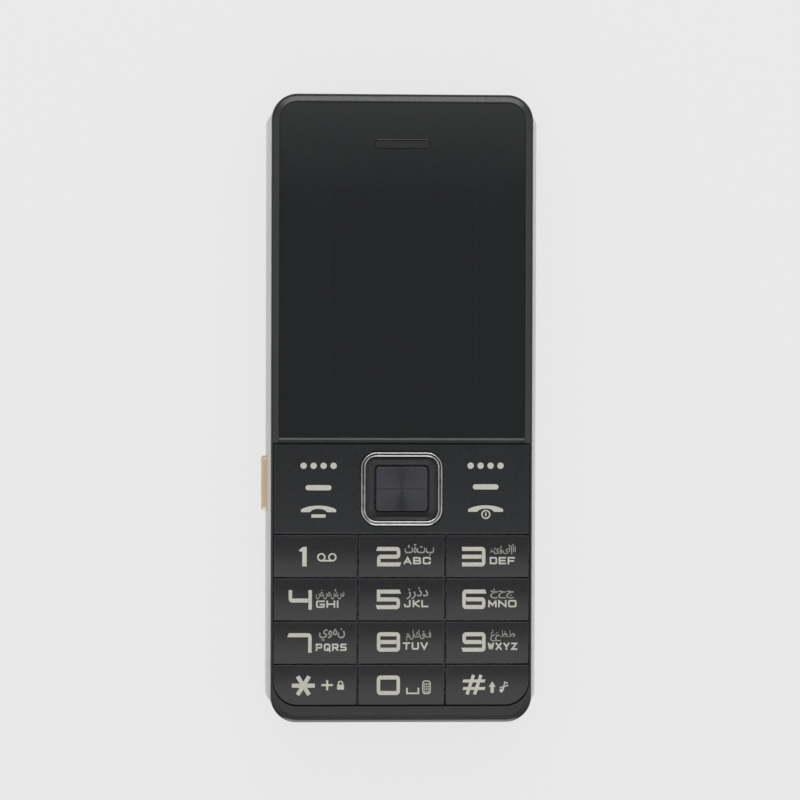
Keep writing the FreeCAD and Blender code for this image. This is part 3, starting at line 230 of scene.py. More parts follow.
# Painted shade: a fine darker line across the middle, also standing in for the reflection
paintedShadeLine = addNode(tree, "ShaderNodeMapRange",
                 {"From Min": spunFace["line"] * mm, "From Max": 0.0, "To Max": 0.8},
                 {"Value": alongSpun.outputs[0]})
paintedShade = addNode(tree, "ShaderNodeMath", {"operation": "MAXIMUM"},
                 {0: paintedShadeWedge.outputs[0], 1: paintedShadeLine.outputs[0]})
# Painted reflection shade: the shadow colour laid over the turning marks where the wedges and the line fall
spunWithPaintedShade = addNode(tree, "ShaderNodeMix", {"data_type": "RGBA"},
                     {0: paintedShade.outputs[0], 6: spunColour.outputs[2]})
spunWithPaintedShade.inputs[7].default_value = toLinear(spunFace["shadow"])
tree.links.new(spunWithPaintedShade.outputs[2], surface.inputs["Base Color"])
spunRough = addNode(tree, "ShaderNodeMapRange",
                    {"From Min": -1.0, "From Max": 1.0, "To Min": 0.36, "To Max": 0.44},
                    {"Value": groove.outputs[0]})
tree.links.new(spunRough.outputs[0], surface.inputs["Roughness"])
tangent = addNode(tree, "ShaderNodeTangent", {"direction_type": "RADIAL", "axis": "Z"})
tree.links.new(tangent.outputs[0], surface.inputs["Tangent"])
spunBump = addNode(tree, "ShaderNodeBump", {"Strength": 0.25, "Distance": 0.004 * mm},
                   {"Height": groove.outputs[0]})
tree.links.new(spunBump.outputs[0], surface.inputs["Normal"])
dress("ok_key", spun)

# Side strips: ABS under silver lacquer, whose flakes sparkle a little. The side key's lacquer is pale gold.

stripFinish = {"dark": "#DCDCD9", "light": "#ECECE9", "rough": (0.3, 0.42), "grain": 0.25, "bump": 0.006}
silver = grained("silverFlakeLacquer", stripFinish, {"Metallic": 0.12})
dress("left_side_trim", silver)
dress("right_side_trim", silver)
sideKeyFinish = {"dark": "#DFC5A0", "light": "#ECD5B2", "rough": (0.28, 0.38), "grain": 0.25, "bump": 0.006}
dress("side_key", grained("goldFlakeLacquer", sideKeyFinish, {"Metallic": 0.15}))
print("outer materials done")

# Inside and on the back: each finish with the nodes that wear it

innerFinishes = {
    # liquid crystal glass that is switched off, under a grey polariser
    "polarisedDisplayGlass": ({"dark": "#16181B", "light": "#1B1D21", "rough": (0.1, 0.16), "grain": 2.0,
                               "bump": 0.001}, {"IOR": 1.52}, ["display_panel"]),
    # white reflecting polycarbonate tray, faintly mottled
    "whitePolycarbonate": ({"dark": "#D9DAD6", "light": "#EFEFEC", "rough": (0.4, 0.5), "grain": 1.0,
                            "bump": 0.01}, {}, ["display_backlight", "torch_led", "key_lights"]),
    # closed cell foam and acrylic tape, black and matt, with a soft open grain
    "blackFoam": ({"dark": "#141414", "light": "#222222", "rough": (0.8, 0.95), "grain": 0.3, "bump": 0.08},
                  {}, ["display_gasket", "lens_adhesive"]),
    # moulded silicone rubber, milky, half clear and dull
    "milkySilicone": ({"dark": "#B9BCBE", "light": "#D2D4D5", "rough": (0.5, 0.62), "grain": 0.8,
                       "bump": 0.01}, {"IOR": 1.41, "Subsurface Weight": 0.15}, ["key_mat"]),
    # moulded silicone rubber with carbon black, dull
    "blackSilicone": ({"dark": "#1B1B1B", "light": "#272727", "rough": (0.55, 0.7), "grain": 0.6,
                       "bump": 0.01}, {"IOR": 1.41}, ["microphone_boot"]),
    # cast polyester film with a print under it, pale and smooth
    "polyesterFilm": ({"dark": "#C3C8CB", "light": "#D9DDDF", "rough": (0.18, 0.26), "grain": 1.5,
                       "bump": 0.004}, {"IOR": 1.6}, ["dome_film"]),
    # laminated polyimide of a flexible circuit, amber with a satin shine
    "amberPolyimide": ({"dark": "#9A5A1C", "light": "#B8742C", "rough": (0.25, 0.35), "grain": 0.9,
                        "bump": 0.006}, {"IOR": 1.7}, ["display_ribbon"]),
    # rolled stainless steel, stamped, bright with a fine drawn grain
    "stampedSteel": ({"dark": "#A9ABAD", "light": "#C7C9CB", "rough": (0.24, 0.36), "grain": 0.35,
                      "bump": 0.006}, {"Metallic": 1.0},
                     ["key_domes", "shield_can_processor", "shield_can_radio", "sim_holder_left",
                      "sim_holder_right", "memory_card_holder", "charging_socket", "clock_cell",
                      "vibration_motor", "microphone", "battery_connector"]),
    # zinc plated screw steel, worn dull at the recess
    "zincPlatedSteel": ({"dark": "#8E9093", "light": "#B3B5B7", "rough": (0.28, 0.45), "grain": 0.4,
                         "bump": 0.008}, {"Metallic": 1.0}, ["housing_screws"]),
    # sintered tungsten, dark and matt
    "sinteredTungsten": ({"dark": "#6B6A68", "light": "#858380", "rough": (0.45, 0.6), "grain": 0.3,
                          "bump": 0.02}, {"Metallic": 1.0}, ["vibration_weight"]),
    # moulded glass filled nylon of sockets and carriers, dull from the fibres at its skin
    "glassFilledNylon": ({"dark": "#1E1E1F", "light": "#2C2C2D", "rough": (0.5, 0.65), "grain": 0.4,
                          "bump": 0.02}, {}, ["headset_jack", "side_key_switch", "earpiece_speaker",
                                              "loudspeaker", "antenna_carrier"]),
    # pressed epoxy compound of a chip, an even matt black
    "epoxyCompound": ({"dark": "#202123", "light": "#2B2C2E", "rough": (0.55, 0.68), "grain": 0.3,
                       "bump": 0.01}, {}, ["processor_chip"]),
    # anodised aluminium of the camera's barrel, a soft deep black
    "blackAnodised": ({"dark": "#121214", "light": "#1B1B1E", "rough": (0.25, 0.35), "grain": 0.5,
                       "bump": 0.004}, {}, ["camera_module"]),
    # printed wrap of the battery, satin grey
    "batteryWrap": ({"dark": "#54575B", "light": "#63666A", "rough": (0.35, 0.45), "grain": 1.2,
                     "bump": 0.01}, {}, ["battery"]),
}
for materialName, (finish, shader, members) in innerFinishes.items():
    made = grained(materialName, finish, shader)
    for name in members:
        dress(name, made)

# Solder mask printed over copper: a glossy green, paler where traces run under it
boardFinish = {"dark": "#0F3F26", "light": "#164F30", "rough": (0.26, 0.38), "grain": 0.8, "bump": 0.01,
               "traces": "#2A6B41", "pitch": 4}
boardGreen, tree, surface, place = newMaterial("greenSolderMask", {})
maskTone = grain(tree, surface, place, boardFinish)
traces = addNode(tree, "ShaderNodeTexBrick",
                 {"Scale": perMm(boardFinish["pitch"]), "Mortar Size": 0.03, "Bias": -0.4,
                  "Color2": toLinear(boardFinish["dark"]), "Mortar": toLinear(boardFinish["traces"])},
                 {"Vector": place, "Color1": maskTone})
tree.links.new(traces.outputs["Color"], surface.inputs["Base Color"])
dress("main_board", boardGreen)

# Woven steel mesh, painted black, behind the sound openings. Real wires are finer than this coarse check.
meshFinish = {"dark": "#28292B", "light": "#303133", "rough": (0.4, 0.5), "grain": 0.3, "bump": 0.02,
              "between": "#1C1D1F", "pitch": 0.3}
weave, tree, surface, place = newMaterial("wovenSteelMesh", {"Metallic": 0.3})
wireTone = grain(tree, surface, place, meshFinish)
wires = addNode(tree, "ShaderNodeTexChecker",
                {"Scale": perMm(meshFinish["pitch"]), "Color2": toLinear(meshFinish["between"])},
                {"Vector": place, "Color1": wireTone})
tree.links.new(wires.outputs["Color"], surface.inputs["Base Color"])
dress("earpiece_mesh", weave)
dress("loudspeaker_mesh", weave)

# Moulded clear polycarbonate of the camera window and the torch lens, faintly rippled
clearFinish = {"dark": "#E6E9EB", "light": "#F4F6F7", "rough": (0.03, 0.07), "grain": 3.0, "bump": 0.0005}
clear = grained("clearPolycarbonate", clearFinish, {"IOR": 1.585, "Transmission Weight": 1.0})
dress("camera_window", clear)
dress("torch_lens", clear)
print("inner materials done")

# Printing: strokes and filled shapes laid on the keys as skins of screen printed ink, matt and slightly warm

ink = {"thick": 0.03, "root": -0.01, "digitStroke": 0.77, "upright": 0.86, "letterStroke": 0.3,
       "letterSpace": 0.31, "corner": 0.42, "letterCorner": 0.22, "step": 0.25, "crown": 0.1}
inkFinish = {"dark": "#C0BEB2", "light": "#CDCBC0", "rough": (0.5, 0.62), "grain": 0.5, "bump": 0.004}
inkMaterial = grained("screenPrintedInk", inkFinish)
thinInk = grained("thinScreenPrintedInk", {**inkFinish, "dark": "#94938B", "light": "#A3A29A"})

# Paths over a unit square; a third number scales a corner's rounding, and slants lean the cut ends
digits = {
    "2": [[(0, 1), (1, 1), (1, 0.5), (0, 0.5), (0, 0, 0), (1, 0)]],
    "3": [[(0, 1), (1, 1), (1, 0), (0, 0)], [(0, 0.5), (0.8, 0.5)]],
    "4": [[(0, 1), (0, 0.46), (0.8, 0.46)], [(1, 1), (1, 0)]],
    "5": [[(1, 1), (0, 1, 0), (0, 0.5, 0), (1, 0.5), (1, 0), (0, 0)]],
    "6": [[(1, 1), (0, 1), (0, 0), (1, 0), (1, 0.5), (0.2, 0.5)]],
    "7": [[(0, 1), (1, 1), (1, 0)]],
    "8": [[(0, 0), (1, 0), (1, 1), (0, 1), "closed"], [(0.2, 0.5), (0.8, 0.5)]],
    "9": [[(0, 0), (1, 0), (1, 1), (0, 1), (0, 0.5), (0.8, 0.5)]],
    "0": [[(0, 0), (1, 0), (1, 1), (0, 1), "closed"]],
}
slants = {"2": 0.35, "5": -0.35, "6": -0.35, "7": 0.4, "9": -0.35}
# The digit one is a filled outline over the same square
one = {"size": (1.46, 3.74),
       "outline": [(1, 1), (0.6, 1), (0.28, 0.94), (0, 0.84), (0.05, 0.765), (0.42, 0.765), (0.42, 0),
                   (1, 0)]}
letters = {
    "A": [[(0, 0), (0.5, 1, 0), (1, 0)], [(0.2, 0.3), (0.8, 0.3)]],
    "B": [[(0, 0, 0), (1, 0), (1, 0.5), (0, 0.5, 0), "closed"],
          [(0, 0.5, 0), (0.92, 0.5), (0.92, 1), (0, 1, 0), "closed"]],
    "C": [[(1, 0.75), (1, 1), (0, 1), (0, 0), (1, 0), (1, 0.25)]],
    "D": [[(0, 0, 0), (1, 0), (1, 1), (0, 1, 0), "closed"]],
    "E": [[(1, 1), (0, 1, 0), (0, 0, 0), (1, 0)], [(0, 0.5), (0.9, 0.5)]],
    "F": [[(1, 1), (0, 1, 0), (0, 0)], [(0, 0.45), (0.85, 0.45)]],
    "G": [[(1, 1), (0, 1), (0, 0), (1, 0), (1, 0.45, 0), (0.5, 0.45)]],
    "H": [[(0, 0), (0, 1)], [(1, 0), (1, 1)], [(0, 0.5), (1, 0.5)]],
    "I": [[(0, 0), (0, 1)]],
    "J": [[(0.9, 1), (0.9, 0), (0, 0), (0, 0.3)]],
    "K": [[(0, 0), (0, 1)], [(1, 1), (0.2, 0.5, 0), (1, 0)]],
    "L": [[(0, 1), (0, 0, 0), (1, 0)]],
    "M": [[(0, 0), (0, 1, 0), (0.5, 0.25, 0), (1, 1, 0), (1, 0)]],
    "N": [[(0, 0), (0, 1, 0), (1, 0, 0), (1, 1)]],
    "O": [[(0, 0), (1, 0), (1, 1), (0, 1), "closed"]],
    "P": [[(0, 0), (0, 1, 0), (1, 1), (1, 0.42), (0, 0.42)]],
    "Q": [[(0, 0), (1, 0), (1, 1), (0, 1), "closed"], [(0.6, 0.3), (1.05, -0.15)]],
    "R": [[(0, 0), (0, 1, 0), (1, 1), (1, 0.42), (0, 0.42)], [(0.5, 0.42), (1, 0)]],
    "S": [[(1, 1), (0, 1), (0, 0.5), (1, 0.5), (1, 0), (0, 0)]],
    "T": [[(0, 1), (1, 1)], [(0.5, 1), (0.5, 0)]],
    "U": [[(0, 1), (0, 0), (1, 0), (1, 1)]],
    "V": [[(0, 1), (0.5, 0, 0), (1, 1)]],
    "W": [[(0, 1), (0.25, 0, 0), (0.5, 0.9, 0), (0.75, 0, 0), (1, 1)]],
    "X": [[(0, 0), (1, 1)], [(0, 1), (1, 0)]],
    "Y": [[(0, 1), (0.5, 0.45, 0), (1, 1)], [(0.5, 0.45), (0.5, 0)]],
    "Z": [[(0, 1), (1, 1, 0), (0, 0, 0), (1, 0)]],
}


def roundedPath(points, radius, closed):
    # The corners of a run of points, each turned into a short arc and the runs divided
    count = len(points)
    rounded = []
    for index, point in enumerate(points):
        x, y = point[0], point[1]
        share = point[2] if len(point) > 2 else 1
        if not closed and index in (0, count - 1) or not share * radius:
            rounded.append((x, y))
            continue
        before, after = points[index - 1], points[(index + 1) % count]
        toBefore = (before[0] - x, before[1] - y)
        toAfter = (after[0] - x, after[1] - y)
        lengthBefore, lengthAfter = math.hypot(*toBefore), math.hypot(*toAfter)
        inset = min(radius * share, lengthBefore * 0.49, lengthAfter * 0.49)
        start = (x + toBefore[0] / lengthBefore * inset, y + toBefore[1] / lengthBefore * inset)
        end = (x + toAfter[0] / lengthAfter * inset, y + toAfter[1] / lengthAfter * inset)
        for step in range(7):
            t = step / 6
            rounded.append(tuple((1 - t) ** 2 * a + 2 * t * (1 - t) * b + t * t * c
                                 for a, b, c in zip(start, (x, y), end)))
    divided = []
    last = len(rounded) if closed else len(rounded) - 1
    for index in range(last):
        a, b = rounded[index], rounded[(index + 1) % len(rounded)]
        parts = max(1, math.ceil(math.dist(a, b) / ink["step"]))
        divided += [(a[0] + (b[0] - a[0]) * n / parts, a[1] + (b[1] - a[1]) * n / parts)
                    for n in range(parts)]
    if not closed:
        divided.append(rounded[-1])
    return divided


def ribbon(points, width, radius, closed, upright=1.0):
    # Left and right edges of a stroke along the path, whose upright parts may be thinner
    path = roundedPath(points, radius, closed)
    count = len(path)
    edges = []
    for index, (x, y) in enumerate(path):
        before = path[index - 1] if closed or index else None
        after = path[(index + 1) % count] if closed or index < count - 1 else None
        ways = []
        for a, b in ((before, (x, y)), ((x, y), after)):
            if a and b and math.dist(a, b) > 1e-9:
                length = math.dist(a, b)
                ways.append(((b[0] - a[0]) / length, (b[1] - a[1]) / length))
        first, second = ways[0], ways[-1]
        across = (-(first[1] + second[1]) / 2, (first[0] + second[0]) / 2)
        scale = width / 2 / max(across[0] ** 2 + across[1] ** 2, 0.2)
        edges.append(((x + across[0] * scale * upright, y + across[1] * scale),
                      (x - across[0] * scale * upright, y - across[1] * scale)))
    return edges


def longer(end, beside, extra):
    length = math.dist(end[:2], beside[:2])
    return tuple(e + (e - b) / length * extra for e, b in zip(end[:2], beside[:2]))


class InkSkin:
    # Gathers closed skins of ink on one surface, whose height in millimetres is given by x and y
    def __init__(self, height):
        self.height = height
        self.points = []
        self.faces = []
        self.lift = ink["thick"]

    def corner(self, x, y, raised):
        lift = self.lift if raised else ink["root"]
        self.points.append((x * mm, y * mm, (self.height(x, y) + lift) * mm))
        return len(self.points) - 1

    def stroke(self, points, width, radius=0.0, closed=False, slant=0.0, upright=1.0):
        edges = ribbon(points, width, radius, closed, upright)
        if slant and not closed:
            for end, (centre, beside) in ((0, points[:2]), (-1, points[:-3:-1])):
                if abs(centre[1] - beside[1]) < 0.01:
                    edges[end] = tuple((x + slant * (y - centre[1]), y) for x, y in edges[end])
        rows = [[self.corner(*left, True), self.corner(*right, True), self.corner(*right, False),
                 self.corner(*left, False)] for left, right in edges]
        pairs = list(zip(rows, rows[1:])) + ([(rows[-1], rows[0])] if closed else [])
        for a, b in pairs:
            for side in range(4):
                other = (side + 1) % 4
                self.faces.append((a[side], b[side], b[other], a[other]))
        if not closed:
            self.faces.append(tuple(rows[0]))
            self.faces.append(tuple(reversed(rows[-1])))
        self.lift += 0.001    # crossing strokes then share no face

    def fill(self, outline):
        top = [self.corner(x, y, True) for x, y in outline]
        under = [self.corner(x, y, False) for x, y in outline]
        self.faces.append(tuple(top))
        self.faces.append(tuple(reversed(under)))
        count = len(top)
        for index in range(count):
            other = (index + 1) % count
            self.faces.append((top[index], under[index], under[other], top[other]))
        self.lift += 0.001

    def glyph(self, paths, centre, size, width, radius, slant=0.0, upright=1.0):
        # The strokes' outsides fill the given size, so free ends run on by half a stroke
        inner = size[0] - width * upright
        left, low = centre[0] - inner / 2, centre[1] - (size[1] - width) / 2
        for path in paths:
            closed = path[-1] == "closed"
            run = path[:-1] if closed else path
            placed = [(left + p[0] * inner, low + p[1] * (size[1] - width), *p[2:]) for p in run]
            if not closed:
                placed = [longer(placed[0], placed[1], width / 2), *placed[1:-1],
                          longer(placed[-1], placed[-2], width / 2)]
            self.stroke(placed, width, radius, closed, slant, upright)

    def word(self, text, centre, size):
        # Letters side by side; I is as wide as its stroke
        stroke, space = ink["letterStroke"], ink["letterSpace"]
        wide = [letter != "I" for letter in text]
        room = size[0] - space * (len(text) - 1) - stroke * wide.count(False)
        each = room / max(1, wide.count(True))
        x = centre[0] - size[0] / 2
        for letter, isWide in zip(text, wide):
            span = each if isWide else stroke
            self.glyph(letters[letter], (x + span / 2, centre[1]), (span, size[1]), stroke,
                       ink["letterCorner"])
            x += span + space

    def finish(self, name, body):
        mesh = bpy.data.meshes.new(name)
        mesh.from_pydata(self.points, [], self.faces)
        mesh.materials.append(inkMaterial)
        piece = bpy.data.objects.new(name, mesh)
        bpy.context.scene.collection.objects.link(piece)
        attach(piece, body)
        return piece


def crownOf(nodeName):
    # Height over a key's crown, an arc along Y through its two top edges and its middle
    low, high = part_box(nodeName)
    middle, half = (low.y + high.y) / 2 / mm, (high.y - low.y) / 2 / mm
    top, rise = high.z / mm, ink["crown"]
    radius = (half * half + rise * rise) / (2 * rise)
    return lambda x, y: top - radius + math.sqrt(radius * radius - (y - middle) ** 2)


def circlePoints(centre, radius, count=24):
    return [(centre[0] + radius * math.cos(2 * math.pi * n / count),
             centre[1] + radius * math.sin(2 * math.pi * n / count)) for n in range(count)]


# Number keys: a digit, its letters, and the second alphabet above them in separate forms

keyPrint = {
    "key_1": {"digit": ("1", (-18.91, -28.38))},
    "key_2": {"digit": ("2", (-2.48, -28.38)), "word": ("ABC", (2.99, -29.14), 5.22),
              "script": ("ثةتب", (3.41, -27.08), (5.64, 2.26))},
    "key_3": {"digit": ("3", (13.87, -28.38)), "word": ("DEF", (19.36, -29.14), 4.86),
              "script": ("ءئؤىآإأا", (19.47, -26.97), (4.91, 2.05))},
    "key_4": {"digit": ("4", (-19.39, -36.67)), "word": ("GHI", (-14.23, -37.49), 4.28),
              "script": ("ضصشس", (-13.69, -35.55), (5.42, 2.02))},
    "key_5": {"digit": ("5", (-2.51, -36.58)), "word": ("JKL", (2.82, -37.39), 4.66),
              "script": ("زرذد", (3.03, -35.42), (4.19, 2.30))},
    "key_6": {"digit": ("6", (13.90, -36.57)), "word": ("MNO", (19.38, -37.40), 5.44),
              "script": ("خحج", (19.34, -35.48), (4.59, 1.86))},
    "key_7": {"digit": ("7", (-19.42, -44.92)), "word": ("PQRS", (-13.45, -45.75), 5.93),
              "script": ("يوهن", (-13.30, -43.31), (4.97, 2.39))},
    "key_8": {"digit": ("8", (-2.47, -44.75)), "word": ("TUV", (2.68, -45.52), 4.80),
              "script": ("ملكقف", (3.32, -43.54), (4.79, 2.16))},
    "key_9": {"digit": ("9", (13.95, -44.77)), "word": ("WXYZ", (19.45, -45.60), 5.67),
              "script": ("غعظط", (19.46, -43.56), (4.75, 2.17))},
    "key_star": {},
    "key_0": {"digit": ("0", (-2.47, -53.06))},
    "key_hash": {},
}
digitSize = (4.45, 3.74)
letterHeight = 1.4
starX, starY = (-18.76, -53.1)
hashX, hashY, hashBar = (13.98, -52.98, 0.72)
padX, padY = (4.5, -54.33)


def crossing(centre, reachX, reachY):
    return [(centre[0] - reachX, centre[1] - reachY), (centre[0] + reachX, centre[1] + reachY)]


def boxAround(x, y, halfX, halfY):
    return [(x - halfX, y - halfY), (x + halfX, y - halfY), (x + halfX, y + halfY), (x - halfX, y + halfY)]


# Each sign is its points and the settings of its stroke, or None where the shape is filled
keySigns = {
    # two reels and their tape
    "key_1": [(circlePoints((-15.38, -28.5), 0.66), {"width": 0.29, "closed": True}),
              (circlePoints((-13.27, -28.5), 0.66), {"width": 0.29, "closed": True}),
              ([(-15.38, -29.16), (-13.27, -29.16)], {"width": 0.3})],
    # star of three strokes, plus and padlock
    "key_star": [
        *[(crossing((starX, starY), math.cos(math.radians(turn)) * 2.2, math.sin(math.radians(turn)) * 2.05),
           {"width": 0.78}) for turn in (0, 60, 120)],
        ([(-15.3, -53.0), (-13.1, -53.0)], {"width": 0.4}),
        ([(-14.2, -54.0), (-14.2, -52.05)], {"width": 0.4}),
        ([(-12.3, -53.88), (-10.98, -53.88), (-10.98, -52.95), (-12.3, -52.95)], None),
        ([(-12.02, -53.0), (-12.02, -52.32), (-11.26, -52.32), (-11.26, -53.0)],
         {"width": 0.24, "radius": 0.35})],
    # space sign and a small keypad
    "key_0": [
        ([(1.1, -53.55), (1.1, -54.62), (3.29, -54.62), (3.29, -53.55)], {"width": 0.3}),
        ([(4.15, -54.68), (5.55, -54.68), (5.55, -52.25), (4.15, -52.25)],
         {"width": 0.2, "radius": 0.5, "closed": True}),
        *[(boxAround(padX + column * 0.35, padY + row * 0.5, 0.1, 0.15), None)
          for row in range(4) for column in range(3)]],
    # hash, shift arrow and note
    "key_hash": [
        *[sign for side in (-hashBar, hashBar) for sign in (
            ([(11.85, hashY + side), (16.1, hashY + side)], {"width": 0.56, "slant": 0.3}),
            ([(hashX + side - 0.62, -54.85), (hashX + side + 0.62, -51.1)], {"width": 0.62}))],
        ([(17.17, -54.55), (17.79, -54.55), (17.79, -53.4), (18.15, -53.4), (17.48, -52.35), (16.81, -53.4),
          (17.17, -53.4)], None),
        (circlePoints((19.25, -54.1), 0.38, 12), None),
        ([(19.55, -54.1), (19.9, -52.5), (20.5, -52.75)], {"width": 0.24}),
        ([(18.95, -53.55), (20.55, -53.1)], {"width": 0.22})],
}


def printScript(name, text, centre, size, height):
    curve = bpy.data.curves.new(name, "FONT")
    curve.body = text
    curve.extrude = 0.5
    curve.resolution_u = 3
    curve.offset = 0.014
    shape = bpy.data.objects.new(name + "_outline", curve)
    bpy.context.scene.collection.objects.link(shape)
    bpy.context.view_layer.update()
    mesh = bpy.data.meshes.new_from_object(shape.evaluated_get(bpy.context.evaluated_depsgraph_get()))
    bpy.data.objects.remove(shape)
    xs, ys = [v.co.x for v in mesh.vertices], [v.co.y for v in mesh.vertices]
    for vertex in mesh.vertices:
        x = centre[0] + ((vertex.co.x - min(xs)) / (max(xs) - min(xs)) - 0.5) * size[0]
        y = centre[1] + ((vertex.co.y - min(ys)) / (max(ys) - min(ys)) - 0.5) * size[1]
        lift = ink["thick"] if vertex.co.z > 0 else ink["root"]
        vertex.co = (x * mm, y * mm, (height(x, y) + lift) * mm)
    mesh.materials.clear()
    mesh.materials.append(thinInk)
    return bpy.data.objects.new(name, mesh)


for nodeName, marks in keyPrint.items():
    height = crownOf(nodeName)
    skin = InkSkin(height)
    if "digit" in marks:
        text, centre = marks["digit"]
        if text == "1":
            wide, tall = one["size"]
            skin.fill([(centre[0] + (x - 0.5) * wide, centre[1] + (y - 0.5) * tall)
                       for x, y in one["outline"]])
        else:
            skin.glyph(digits[text], centre, digitSize, ink["digitStroke"], ink["corner"],
                       slants.get(text, 0.0), ink["upright"])
    if "word" in marks:
        text, centre, width = marks["word"]
        skin.word(text, centre, (width, letterHeight))
    for points, settings in keySigns.get(nodeName, []):
        if settings:
            skin.stroke(points, **settings)
        else:
            skin.fill(points)
    skin.finish(nodeName + "_print", nodeName)
    if "script" in marks:
        text, centre, size = marks["script"]
        script = printScript(nodeName + "_script", text, centre, size, height)
        bpy.context.scene.collection.objects.link(script)
        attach(script, nodeName)
print("number keys printed")

# Function plate: dots, dashes and the two handsets

platePrint = {
    "level": 13.35,
    "dots": {"centres": ((-15.95, -10.98), (16.07, -10.92)), "count": 4, "pitch": 1.91, "width": 1.22},
    "dashes": {"centres": ((-15.96, -15.18), (16.09, -14.98)), "length": 4.95, "width": 1.0},
    "handsets": {"feet": ((-15.95, -19.86), (16.10, -19.77)), "half": 3.37, "shoulder": 0.48, "rise": 0.77,
                 "turn": 60, "hollow": (1.5, 0.64), "inside": 1.7},
    "cradle": {"ends": [(-17.3, -20.6), (-14.6, -20.6)], "width": 0.62},
    "power": {"centre": (16.15, -20.26), "radius": 0.76, "width": 0.26,
              "bar": [(16.15, -20.62), (16.15, -19.9)], "barWidth": 0.24},
}
skin = InkSkin(lambda x, y: platePrint["level"])
dots = platePrint["dots"]
for centreX, centreY in dots["centres"]:
    for index in range(dots["count"]):
        x = centreX + (index - (dots["count"] - 1) / 2) * dots["pitch"]
        skin.fill(circlePoints((x, centreY), dots["width"] / 2))
dashes = platePrint["dashes"]
half = (dashes["length"] - dashes["width"]) / 2
for centreX, centreY in dashes["centres"]:
    ends = [(centreX + math.cos(math.radians(a)) * dashes["width"] / 2 + half * side,
             centreY + math.sin(math.radians(a)) * dashes["width"] / 2)
            for side, turn in ((1, -90), (-1, 90)) for a in range(turn, turn + 181, 20)]
    skin.fill(ends)
handset = platePrint["handsets"]
turn, half, inside = handset["turn"], handset["half"], handset["inside"]
hollowX, hollowY = handset["hollow"]
for centreX, bottom in handset["feet"]:
    back = [(half * math.sin(math.radians(a)) / math.sin(math.radians(turn)),
             handset["shoulder"] + handset["rise"] * (math.cos(math.radians(a)) - 0.5) / 0.5)
            for a in range(-turn, turn + 1, 6)]
    hollow = [(hollowX * math.cos(math.radians(a)), hollowY * math.sin(math.radians(a)))
              for a in range(0, 181, 12)]
    outline = back + [(half, 0.0), (inside, 0.0)] + hollow[1:-1] + [(-inside, 0.0), (-half, 0.0)]
    skin.fill([(centreX + x, bottom + y) for x, y in outline])
cradle, power = platePrint["cradle"], platePrint["power"]
skin.stroke(cradle["ends"], cradle["width"])
skin.stroke(circlePoints(power["centre"], power["radius"]), power["width"], closed=True)
skin.stroke(power["bar"], power["barWidth"])
skin.finish("function_plate_print", "function_plate")
print("function plate printed")

# Floor and room

room = {"floor": "#EBEBEB", "half": 3.0, "drop": 0.05, "even": 0.88, "peak": 1.2, "flank": 0.6,
        "front": 3.6,
        "wall": ((-1.0, 0.3), (-0.68, 0.3), (-0.44, 0.9), (-0.16, 1.15), (0.1, 0.95), (0.6, 0.95),
                 (1.0, 0.6)),
        "flag": {"middle": 0.010, "wide": 0.4, "dark": 0.052, "light": 0.14, "level": 0.03}}
floorMesh = bpy.data.meshes.new("floor")
half, level = room["half"], -room["drop"] * mm
floorMesh.from_pydata([(-half, -half, level), (half, -half, level), (half, half, level),
                       (-half, half, level)], [], [(0, 1, 2, 3)])
floor = bpy.data.objects.new("floor", floorMesh)
bpy.context.scene.collection.objects.link(floor)
floor.visible_shadow = False
floorPaper = bpy.data.materials.new("paleBackgroundPaper")
floorPaper.use_nodes = True
tree = floorPaper.node_tree
tree.nodes.clear()
paper = addNode(tree, "ShaderNodeBsdfDiffuse", {"Color": toLinear(room["floor"])})
evenPaper = addNode(tree, "ShaderNodeEmission", {"Color": toLinear(room["floor"]), "Strength": 1.0})
rays = addNode(tree, "ShaderNodeLightPath")
seen = addNode(tree, "ShaderNodeMath", {"operation": "MULTIPLY", 1: room["even"]},
               {0: rays.outputs["Is Camera Ray"]})
front = addNode(tree, "ShaderNodeMixShader", links={0: seen.outputs[0], 1: paper.outputs[0],
                                                    2: evenPaper.outputs[0]})
nothing = addNode(tree, "ShaderNodeBsdfTransparent")
side = addNode(tree, "ShaderNodeNewGeometry")
# The sheet lets the tent's light through to the back of the phone, and still takes the shadow
unseen = addNode(tree, "ShaderNodeMath", {"operation": "SUBTRACT", 0: 1.0},
                 {1: rays.outputs["Is Camera Ray"]})
through = addNode(tree, "ShaderNodeMath", {"operation": "MAXIMUM"}, {0: side.outputs["Backfacing"],
                                                                    1: unseen.outputs[0]})
sheet = addNode(tree, "ShaderNodeMixShader", links={0: through.outputs[0], 1: front.outputs[0],
                                                    2: nothing.outputs[0]})
addNode(tree, "ShaderNodeOutputMaterial", links={"Surface": sheet.outputs[0]})
floorMesh.materials.append(floorPaper)

world = bpy.data.worlds.new("studio")
world.use_nodes = True
bpy.context.scene.world = world
tree = world.node_tree
tree.nodes.clear()
# The tent's brightness runs along Y and is lower at the foot and the flanks. A glow low at the chin's end
# gives the ring its lines, and a dark slot stands for the camera straight above
way = addNode(tree, "ShaderNodeTexCoord").outputs["Generated"]
parts = addNode(tree, "ShaderNodeSeparateXYZ", links={0: way})
heading = addNode(tree, "ShaderNodeMapRange", {"From Min": -1.0, "From Max": 1.0},
                  {"Value": parts.outputs[1]})
wall = addNode(tree, "ShaderNodeValToRGB", links={0: heading.outputs[0]})
steps = wall.color_ramp.elements
for index, (y, bright) in enumerate(room["wall"]):
    step = steps[index] if index < 2 else steps.new((y + 1) / 2)
    step.position = (y + 1) / 2
    step.color = (*[bright / room["peak"]] * 3, 1.0)
wallLevel = addNode(tree, "ShaderNodeMath", {"operation": "MULTIPLY", 1: room["peak"]},
                    {0: wall.outputs[0]})
height = addNode(tree, "ShaderNodeMath", {"operation": "ABSOLUTE"}, {0: parts.outputs[2]})
